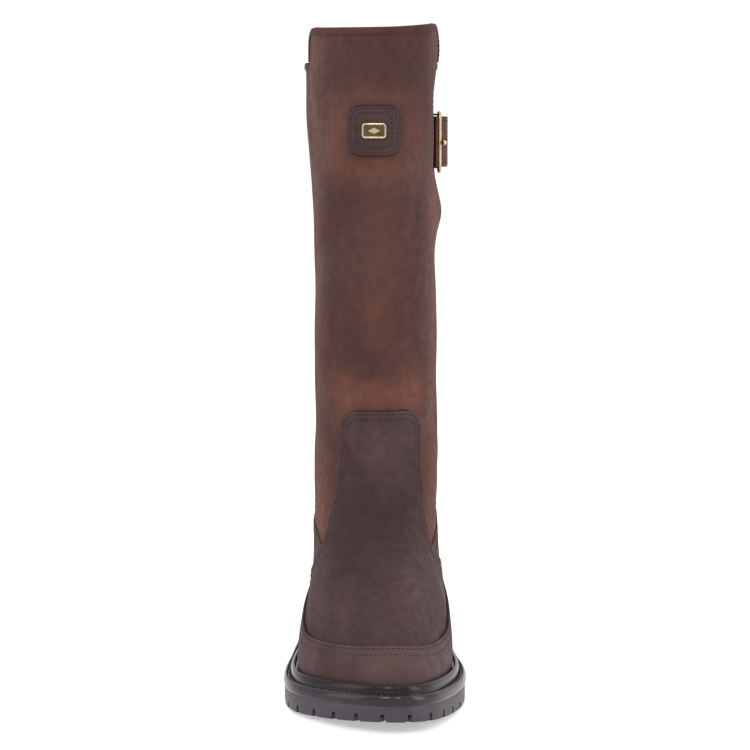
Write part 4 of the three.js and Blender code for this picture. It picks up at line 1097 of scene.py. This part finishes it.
def make_badge():
    distance = np.array([
        0, 0.1, 0.3, 0.6, 1.0, 1.4, 1.8, 2.2, 2.7, 3.3, 4.0, 4.5, 4.9, 5.3, 5.8, 6.6, 8, 10, 12, 14, 15.2,
    ])
    drop = rounded_drop(distance, 0.9)
    for at in BADGE_SEAMS:
        drop = drop + 0.3 * np.exp(-(((distance - at) / 0.5) ** 2))
    shares = 1 - distance / BADGE_REACH
    rings = badge_rings(shares[:1], [BASE[1] + 0.2]) + badge_rings(shares, BADGE_HIGH - drop)
    count = len(rings[0])
    faces = loft_faces(len(rings), count, False)
    obj = build_mesh("badge_leather", np.vstack(rings), faces, [PATCH], sharp=60)
    add_float(obj, "edge_mm", np.concatenate([np.zeros(count), np.repeat(distance, count)]))
    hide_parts("badge_patch")
    rows = []
    for at in BADGE_SEAMS:
        ring = badge_rings([1 - at / BADGE_REACH], [BADGE_HIGH - 0.15])[0]
        ring = np.vstack([ring, ring[:1]])
        rows.append((ring, np.tile([0.0, -1.0, 0.0], (len(ring), 1))))
    stitch_mesh("badge_stitches", rows, THREAD, length=1.9, radius=0.42, pitch=3.0)


def plate_ring(width, height, corner, per_corner=8):
    """A rounded rectangle round the origin in the XZ plane."""
    ring = []
    for cx, cz, start in ((1, 1, 0), (-1, 1, 90), (-1, -1, 180), (1, -1, 270)):
        for angle in np.radians(np.linspace(start, start + 90, per_corner)):
            x = cx * (width / 2 - corner) + corner * math.cos(angle)
            z = cz * (height / 2 - corner) + corner * math.sin(angle)
            ring.append((x, z))
    return np.array(ring)


def on_badge(ring, out):
    """A flat ring's (x, z) points moved to the badge, out in front of the boot."""
    return np.column_stack([ring[:, 0] + BADGE_X, np.full(len(ring), -out), ring[:, 1] + BADGE_Z])


def make_badge_plate():
    """A brass plate: raised rim, dark field and a plain lozenge."""
    back = -float(shaft_row(np.array(BADGE_X), np.array(BADGE_Z))) + 3.75
    steps = [
        (0.0, 0.0), (0.0, 1.15), (0.12, 1.42), (0.4, 1.55), (0.8, 1.55), (1.05, 1.42), (1.2, 1.1),
        (1.25, 0.85), (2.2, 0.8),
    ]
    rings = []
    for inset, lift in steps:
        rings.append(on_badge(plate_ring(15 - 2 * inset, 9.3 - 2 * inset, max(2.2 - inset, 0.5)), back + lift))
    size = len(rings[0])
    plate_faces = loft_faces(len(rings), size, False)
    # The last two bands and the end cap are the dark field inside the rim.
    marks = [0] * len(plate_faces)
    marks[size * 6:size * 8] = [1] * (size * 2)
    marks[-1] = 1
    diamond = np.array([(3.9, 0), (0, 2.1), (-3.9, 0), (0, -2.1)])
    lozenge = [
        on_badge(diamond * share, back + lift)
        for share, lift in ((1.0, 0.75), (0.94, 1.3), (0.8, 1.5), (0.3, 1.52))
    ]
    points, faces = joined([(np.vstack(rings), plate_faces), (np.vstack(lozenge), loft_faces(4, 4, False))])
    marks += [0] * (len(faces) - len(marks))
    obj = build_mesh("badge_brass", points, faces, [BRASS, BRASS_DARK], sharp=35, face_materials=marks)
    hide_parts("badge_plate")


# ---------------------------------------------------------------- strap and buckle

STRAP_LOW = 2.9
FRAME_X = 41.027
FRAME_DEPTH = 30.0
FRAME_WIDTH = 39.0
FRAME_BAR = (2.8, 2.2)
BAR_RADIUS = 1.1
PRONG_RADIUS = 1.1


def beside_shaft(y, out):
    """A point beside the shaft at the strap's height, as (x, y), and the outward direction there."""
    width, front, back = (float(f(STRAP_Z)) for f in (shaft_right, shaft_front, shaft_back))
    middle = (front + back) / 2

    def x_at(at):
        power = FRONT_POWER if at < middle else BACK_POWER
        return width * (1 - (abs(at - middle) / (middle - front)) ** power) ** (1 / power)

    slope = (x_at(y + 0.2) - x_at(y - 0.2)) / 0.4
    normal = unit(np.array([1.0, -slope]))
    return np.array([x_at(y), y]) + normal * out


BAR_OUT = FRAME_X - beside_shaft(HINGE_Y, 0)[0]
TAB_TURN = 2.1
STRAP_HIGH = BAR_OUT + TAB_TURN + 0.7 + 0.3 + 0.9 + 0.9
TAB_LEVEL = 1.7 + 0.3 + 1.2 + 0.3 + 0.7
TAIL_LEVEL = TAB_LEVEL + 0.7 + 0.5 + 0.9


def spline(points, count):
    """A smooth line through points."""
    points = np.array(points)
    padded = np.vstack([2 * points[0] - points[1], points, 2 * points[-1] - points[-2]])
    u = np.linspace(0, len(points) - 1, count)
    k = np.minimum(u.astype(int), len(points) - 2)
    return catmull_rom(*(padded[k + j] for j in range(4)), (u - k)[:, None])


def ribbon(name, line, thickness, half_width, material, grooves=(2.6,), rounding=0.6):
    """A leather strip along a line in the XY plane, and the directions out of it.

    half_width may change along it."""
    across = edge_steps(32.0, (0, 0.1, 0.3, 0.6, 1.0, 1.6, 2.1, 2.6, 3.1, 3.8), 2.5) / 32.0
    half_width = np.broadcast_to(half_width, (len(line),))
    along = unit(np.gradient(line, axis=0))
    aside = np.stack([along[:, 1], -along[:, 0]], 1)
    arc = arc_lengths(line)
    z = (across[:, None] * 2 - 1) * half_width[None, :]
    end = np.minimum(arc, arc[-1] - arc)[None, :]
    distance = np.minimum(np.minimum(across, 1 - across)[:, None] * 2 * half_width[None, :], end)
    drop = rounded_drop(distance, rounding)
    face = drop
    for at in grooves:
        face = face + 0.15 * np.exp(-(((distance - at) / 0.5) ** 2))
    grids = []
    for sign, sunk in ((-1, drop), (1, face)):
        offset = sign * (thickness / 2 - sunk)
        xy = line[None, :, :] + aside[None, :, :] * offset[..., None]
        grids.append(np.concatenate([xy, (z + STRAP_Z)[..., None]], -1))
    obj = slab(name, *grids, material)
    add_float(obj, "edge_mm", np.concatenate([distance.ravel(), distance.ravel()]))
    return obj, aside


def cut_holes(obj, cutters):
    """Real holes through a piece, cut with closed helper meshes that are then removed."""
    for points, faces in cutters:
        mesh = bpy.data.meshes.new("cutter")
        mesh.from_pydata((points * MM).tolist(), [], [list(map(int, f)) for f in faces])
        helper = bpy.data.objects.new("cutter", mesh)
        bpy.context.scene.collection.objects.link(helper)
        modifier = obj.modifiers.new("hole", "BOOLEAN")
        modifier.object = helper
        modifier.operation = "DIFFERENCE"
        modifier.solver = "EXACT"
        graph = bpy.context.evaluated_depsgraph_get()
        fresh = bpy.data.meshes.new_from_object(obj.evaluated_get(graph))
        obj.modifiers.remove(modifier)
        obj.data = fresh
        bpy.data.objects.remove(helper)
    obj.data.shade_smooth()
    obj.data.set_sharp_from_angle(angle=math.radians(50))


def rod_shape(start, end, radius, sides=20):
    """Points and faces of a plain rod, for cutting."""
    axis = unit(end - start)
    side = unit(np.cross(axis, [0.0, 0.0, 1.0]))
    up = np.cross(side, axis)
    ring = round_section(radius, sides)
    rings = [p + side * ring[:, :1] + up * ring[:, 1:] for p in (start, end)]
    return np.vstack(rings), loft_faces(2, sides, False)


def make_strap():
    stops = [
        (STRAP_START_Y, STRAP_LOW), (54, STRAP_LOW), (60, STRAP_LOW + 0.1), (65.5, STRAP_LOW + 0.6),
        (70, STRAP_LOW + 0.36 * (STRAP_HIGH - STRAP_LOW)), (74, STRAP_LOW + 0.7 * (STRAP_HIGH - STRAP_LOW)),
        (78.5, STRAP_HIGH - 0.9), (HINGE_Y, STRAP_HIGH), (89, STRAP_HIGH - 1), (93.5, TAIL_LEVEL + 1),
        (KEEPER_Y, TAIL_LEVEL), (104, TAIL_LEVEL), (110, TAIL_LEVEL + 0.3), (117, TAIL_LEVEL + 1),
    ]
    line = spline([beside_shaft(y, out) for y, out in stops], 150)
    arc = arc_lengths(line)
    left = arc[-1] - arc
    half = 16.0 - 9.0 * (1 - np.sqrt(np.clip(1 - (1 - np.clip(left / 14, 0, 1)) ** 2, 0, 1)))
    obj, aside = ribbon("calf_strap", line, 1.8, half, RED)
    cutters = []
    for y in np.linspace(67.5, 77.5, 5):
        start = np.array([FRAME_X - 14.0, y, STRAP_Z])
        cutters.append(rod_shape(start, start + np.array([30.0, 0, 0]), 1.9))
    for y in (106.5, 112.5):
        spot = np.append(beside_shaft(y, TAIL_LEVEL), STRAP_Z)
        out = np.append(beside_shaft(y, TAIL_LEVEL + 4) - beside_shaft(y, TAIL_LEVEL), 0)
        cutters.append(rod_shape(spot - out, spot + out, 1.7))
    cut_holes(obj, cutters)
    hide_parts("strap")
    rows = []
    for sign in (-1, 1):
        z = STRAP_Z + sign * (half - 2.6)
        keep = slice(3, -6)
        edge = np.column_stack([line + aside * 0.8, z])[keep]
        rows.append((edge, np.column_stack([aside, np.zeros(len(aside))])[keep]))
    stitch_mesh("strap_stitches", rows, THREAD, length=2.3, pitch=3.1)


def make_tab():
    bar = np.array([FRAME_X, HINGE_Y])
    turn = [bar + TAB_TURN * np.array([-math.sin(a), -math.cos(a)]) for a in np.linspace(1.5, -1.5, 21)]
    inner = [
        (116, 2.8), (110, TAB_LEVEL - 0.9), (104, TAB_LEVEL), (KEEPER_Y, TAB_LEVEL), (92, TAB_LEVEL),
        (88, TAB_LEVEL - 0.1),
    ]
    outer = [(86.5, BAR_OUT + TAB_TURN), (89.5, BAR_OUT + TAB_TURN - 0.7)]
    start = spline([beside_shaft(y, out) for y, out in inner], 60)
    line = np.vstack([start, turn, [beside_shaft(y, out) for y, out in outer]])
    obj, _ = ribbon("buckle_holder", line, 1.4, 14.0, RED, grooves=())
    x, y = FRAME_X, HINGE_Y
    corners = np.array([(x - 6, y - 6.5), (x + 6, y - 6.5), (x + 6, y + 4.5), (x - 6, y + 4.5)])
    box = np.vstack([np.column_stack([corners, np.full(4, STRAP_Z + h)]) for h in (-3, 3)])
    cut_holes(obj, [(box, loft_faces(2, 4, False))])
    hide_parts("buckle_tab")


def make_keeper():
    """The leather loop that holds the strap's tail."""
    base = beside_shaft(KEEPER_Y, 0)
    out = unit(beside_shaft(KEEPER_Y, 1) - base)
    tangent = np.array([-out[1], out[0]])
    low = 1.7 + 0.3
    high = TAIL_LEVEL + 0.9 + 2.0
    wall = 1.2
    middle = (low + high + wall) / 2
    ring = plate_ring(high - low, 2 * (16.5 + wall / 2), 1.2, 6)
    path = np.column_stack([
        base[0] + out[0] * (middle + ring[:, 0]),
        base[1] + out[1] * (middle + ring[:, 0]),
        STRAP_Z + ring[:, 1],
    ])
    up = np.tile(np.append(tangent, 0), (len(path), 1))
    along = unit(np.roll(path, -1, 0) - np.roll(path, 1, 0))
    aside = unit(np.cross(up, along))
    section = soft_box_section(wall, 6.0, 5.0)
    obj = sweep("keeper_loop", path, aside, up, section, RED, closed=True)
    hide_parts("strap_keeper")


def make_buckle():
    middle = HINGE_Y + BAR_RADIUS - FRAME_DEPTH + FRAME_DEPTH / 2
    ring = plate_ring(FRAME_DEPTH - FRAME_BAR[0], FRAME_WIDTH - FRAME_BAR[0], 3.0, 9)
    path = np.column_stack([np.full(len(ring), FRAME_X), middle + ring[:, 0], STRAP_Z + ring[:, 1]])
    keep = path[:, 1] < HINGE_Y - 0.2
    start = int(np.argmax(~keep))
    order = np.roll(np.arange(len(path)), -start)
    arm = path[[k for k in order if keep[k]]]
    first, last = (np.array([[FRAME_X, HINGE_Y + 0.2, arm[end][2]]]) for end in (0, -1))
    arm = np.vstack([first, arm, last])
    along = unit(np.gradient(arm, axis=0))
    up = np.tile([1.0, 0.0, 0.0], (len(arm), 1))
    aside = unit(np.cross(along, up))
    section = soft_box_section(*FRAME_BAR, 3.2, 20)
    obj = sweep("frame_brass", arm, aside, up, section, BRASS, body="buckle", sharp=70)
    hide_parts("buckle_frame")
    height = np.linspace(-18.6, 18.6, 12)
    bar = np.column_stack([np.full(12, FRAME_X), np.full(12, HINGE_Y), STRAP_Z + height])
    side = np.tile([1.0, 0.0, 0.0], (12, 1))
    other = np.tile([0.0, 1.0, 0.0], (12, 1))
    bar_obj = sweep("frame_bar", bar, side, other, round_section(BAR_RADIUS), BRASS, body="buckle", sharp=70)


def make_prong():
    """The prong's rod, its rounded tip and the eye round the bar."""
    rest_x = FRAME_X + FRAME_BAR[1] / 2 + 0.3 + PRONG_RADIUS
    rest_y = HINGE_Y + BAR_RADIUS - FRAME_DEPTH - 0.4
    start = np.array([FRAME_X + 0.9, HINGE_Y - 1.9, STRAP_Z])
    end = np.array([rest_x, rest_y, STRAP_Z])
    share = np.linspace(0, 1, 24)[:, None]
    path = start + (end - start) * share
    along = unit(end - start)
    aside = unit(np.cross(along, [0.0, 0.0, 1.0]))
    up = np.array([0.0, 0.0, 1.0])
    taper = np.interp(share[:, 0], [0, 0.85, 1.0], [1.05, 0.95, 0.85])[:, None, None]
    section = round_section(PRONG_RADIUS, 18)[None]
    rod = path[:, None, :] + aside * section[..., :1] * taper + up * section[..., 1:] * taper
    centre = np.array([rest_x + 0.3, rest_y - 0.9, STRAP_Z])
    radius = 1.7
    tip = []
    for angle in np.radians(np.linspace(4, 176, 16)):
        ring = round_section(radius * math.sin(angle), 18)
        tip.append(centre - along * radius * math.cos(angle) + aside * ring[:, :1] + up * ring[:, 1:])
    angle = np.arange(28) / 28 * 2 * np.pi
    outward = np.column_stack([np.cos(angle), np.sin(angle), np.zeros(28)])
    eye_path = np.array([FRAME_X, HINGE_Y, STRAP_Z]) + 1.95 * outward
    section = soft_box_section(1.1, 4.0, 3.0, 16)[None]
    eye = eye_path[:, None, :] + outward[:, None, :] * section[..., :1] + up * section[..., 1:]
    points, faces = joined([
        (rod.reshape(-1, 3), loft_faces(24, 18, False)),
        (np.vstack(tip), loft_faces(16, 18, False)),
        (eye.reshape(-1, 3), loft_faces(28, 16, True)),
    ])
    obj = build_mesh("prong_brass", points, faces, [BRASS], body="prong", sharp=70)
    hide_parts("buckle_prong")


def make_gusset():
    centre = 0.3275
    low = shaft_t(292)
    top = shaft_t(BACK_TOP_Z)
    t = np.linspace(low, top - 0.001, 60)
    half = 0.006 + (0.028 - 0.006) * (t - low) / (top - low)
    share = np.linspace(-1, 1, 40)
    s_grid = centre + share[:, None] * half[None, :]
    high = BASE[1] + 0.45 + 0.25 * np.cos(share * 30)[:, None]
    left = (centre - half, t)
    right = (centre + half, t)
    leather("elastic_gusset", "gusset", s_grid, np.broadcast_to(t, s_grid.shape),
            (BASE[1] - 0.6, high), [left, right], ELASTIC, rounding=0.3)
    rows = seam_rows(left, (1.8,), BASE[1]) + seam_rows(right, (-1.8,), BASE[1])
    stitch_mesh("gusset_stitches", rows, THREAD)


# ---------------------------------------------------------------- colour zones


# Where the wax has drawn away and the leather shows red, and painted highlight along the shaft's sides and over
# the vamp's top: centre and reach in mm (x, z), and how much.
RED_AND_HIGHLIGHT_SPOTS = [
    (3, 148, 17, 17, 0.95), (-18, 60, 12, 14, 0.6), (24, 70, 12, 20, 0.55),
    (-42, 300, 5, 90, 0.9), (42, 270, 5, 100, 1.0),
    (-24, 336, 9, 20, 0.75), (24, 338, 8, 20, 0.7), (0, 362, 24, 7, 0.55), (0, 318, 26, 9, 0.65),
    (-37, 100, 9, 46, 1.0), (38, 106, 8, 44, 0.95), (40, 286, 7, 20, 1.0), (0, 181, 34, 10, 0.95),
    (-20, 176, 8, 22, 0.6), (22, 176, 8, 22, 0.6), (-36, 392, 5, 14, 0.8), (36, 394, 4, 10, 0.5),
    (-37, 236, 4, 110, 0.75), (37, 220, 4, 90, 0.75), (3, 262, 9, 46, 0.3), (0, 226, 12, 24, 0.3),
]
# Painted shade: dark bands down the shaft's rounded front corners where they would reflect a dark surround, and
# some smaller dark patches.
PAINTED_SHADE_SPOTS = [
    (-27, 372, 6, 18, 0.7), (26, 376, 7, 16, 0.9), (-27, 262, 6, 52, 0.75), (25, 266, 6, 56, 0.65),
    (-27, 196, 6, 20, 0.7), (27, 300, 5, 14, 0.5), (0, 384, 22, 10, 0.35), (-12, 300, 9, 20, 0.3),
]


def spots(table, x, z):
    total = sum(w * np.exp(-(((x - cx) / rx) ** 2) - (((z - cz) / rz) ** 2)) for cx, cz, rx, rz, w in table)
    return np.clip(total, 0, 1)


def paint_zones(obj):
    """The colour zones: red where the wax is drawn away, with painted highlight along the shaft's sides and
    over the vamp's top, and red bands at two heights towards the back; painted shade in dark bands and patches,
    and darker evenly towards the back.
    """
    flat = np.empty(len(obj.data.vertices) * 3, dtype=np.float32)
    obj.data.vertices.foreach_get("co", flat)
    x, y, z = (flat.reshape(-1, 3) / MM).T
    ahead = smooth((75 - y) / 60)
    behind = 1 - ahead
    side = 0.55 * np.exp(-(((z - 120) / 40) ** 2)) + 0.4 * np.exp(-(((z - 300) / 50) ** 2))
    # The first attribute is red where the wax is drawn away plus painted highlight; the second is painted
    # shade.
    add_float(obj, "pull_and_highlight", np.clip(spots(RED_AND_HIGHLIGHT_SPOTS, x, z) * ahead + side * behind, 0, 1))
    add_float(obj, "painted_shade", np.clip(spots(PAINTED_SHADE_SPOTS, x, z) * ahead + 0.3 * behind, 0, 1))


# ---------------------------------------------------------------- stage, lights, camera


def dress_hidden():
    """Pieces that stay as modelled and only get their finish."""
    for node, material in (("filler", BOARD), ("shank", STEEL), ("insole_board", BOARD)):
        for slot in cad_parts[node].material_slots:
            slot.material = material


def stage():
    floor_look = Look("floor")
    patches = floor_look.ramp(floor_look.noise(3, 2), 0.3, 0.7)
    shade = floor_look.mix(patches, (0.62, 0.62, 0.62), (0.64, 0.64, 0.64))
    material = floor_look.finish(Base_Color=shade, Roughness=0.9, Specular=0.1, Emission_Color=(1, 1, 1, 1),
                                 Emission_Strength=0.42)
    mesh = bpy.data.meshes.new("floor")
    mesh.from_pydata([(-8, -6, 0), (8, -6, 0), (8, 10, 0), (-8, 10, 0)], [], [(0, 1, 2, 3)])
    mesh.materials.append(material)
    floor = bpy.data.objects.new("floor", mesh)
    bpy.context.scene.collection.objects.link(floor)
    floor.location = (0, 0, -0.0002)
    world = bpy.data.worlds.new("white")
    bpy.context.scene.world = world
    world.use_nodes = True
    background = world.node_tree.nodes["Background"]
    background.inputs["Color"].default_value = (1, 1, 1, 1)
    background.inputs["Strength"].default_value = 1.04
    bpy.context.scene.view_settings.view_transform = "Standard"


def area_light(name, place, target, size, power):
    data = bpy.data.lights.new(name, "AREA")
    data.shape = "RECTANGLE"
    data.size, data.size_y = size
    data.energy = power
    obj = bpy.data.objects.new(name, data)
    bpy.context.scene.collection.objects.link(obj)
    obj.location = place
    obj.rotation_euler = (Vector(target) - Vector(place)).to_track_quat("-Z", "Y").to_euler()


def lights():
    for name, place, target, size, power in (
        ("left_box", (-1.5, -0.4, 0.6), (0, 0, 0.2), (0.8, 1.4), 8),
        ("right_box", (1.5, -0.4, 0.6), (0, 0, 0.2), (0.8, 1.4), 14),
        ("key_left", (-1.15, -1.6, 1.5), (0, -0.1, 0.05), (0.45, 0.45), 12),
        ("key_front", (0.1, -1.9, 1.7), (0, -0.1, 0.05), (0.4, 0.4), 10),
        ("top_box", (0, 0.3, 1.8), (0, 0, 0.2), (1.2, 1.2), 8),
    ):
        area_light(name, place, target, size, power)


# The view: focal length over the width of the picture, place in metres, and dip in degrees.
FOCAL_SHARE = 2559 / 750
SENSOR_WIDTH = 36
CAMERA_PLACE = (0, -1.573, 0.370)
CAMERA_DIP = 6.46


def camera():
    data = bpy.data.cameras.new("camera")
    data.sensor_width = SENSOR_WIDTH
    data.lens = FOCAL_SHARE * SENSOR_WIDTH
    data.clip_end = 50
    obj = bpy.data.objects.new("camera", data)
    bpy.context.scene.collection.objects.link(obj)
    obj.location = CAMERA_PLACE
    obj.rotation_euler = (math.radians(90 - CAMERA_DIP), 0, 0)
    bpy.context.scene.camera = obj


camera()
stage()
lights()
dress_hidden()
make_outsole()
make_tread()
make_welt()
make_footbed()
make_stiffeners()
make_linings()
make_front_panel()
make_back_panels()
make_gusset()
make_vamp()
make_foxing()
make_mudguard()
make_backstay()
make_bindings()
make_badge()
make_badge_plate()
make_strap()
make_tab()
make_keeper()
make_buckle()
make_prong()
for panel in (
    "front_panel", "back_panel_outer_side", "back_panel_inner_side", "vamp_upper", "mudguard_rand",
    "heel_cover", "calf_strap",
):
    paint_zones(bpy.data.objects[panel])
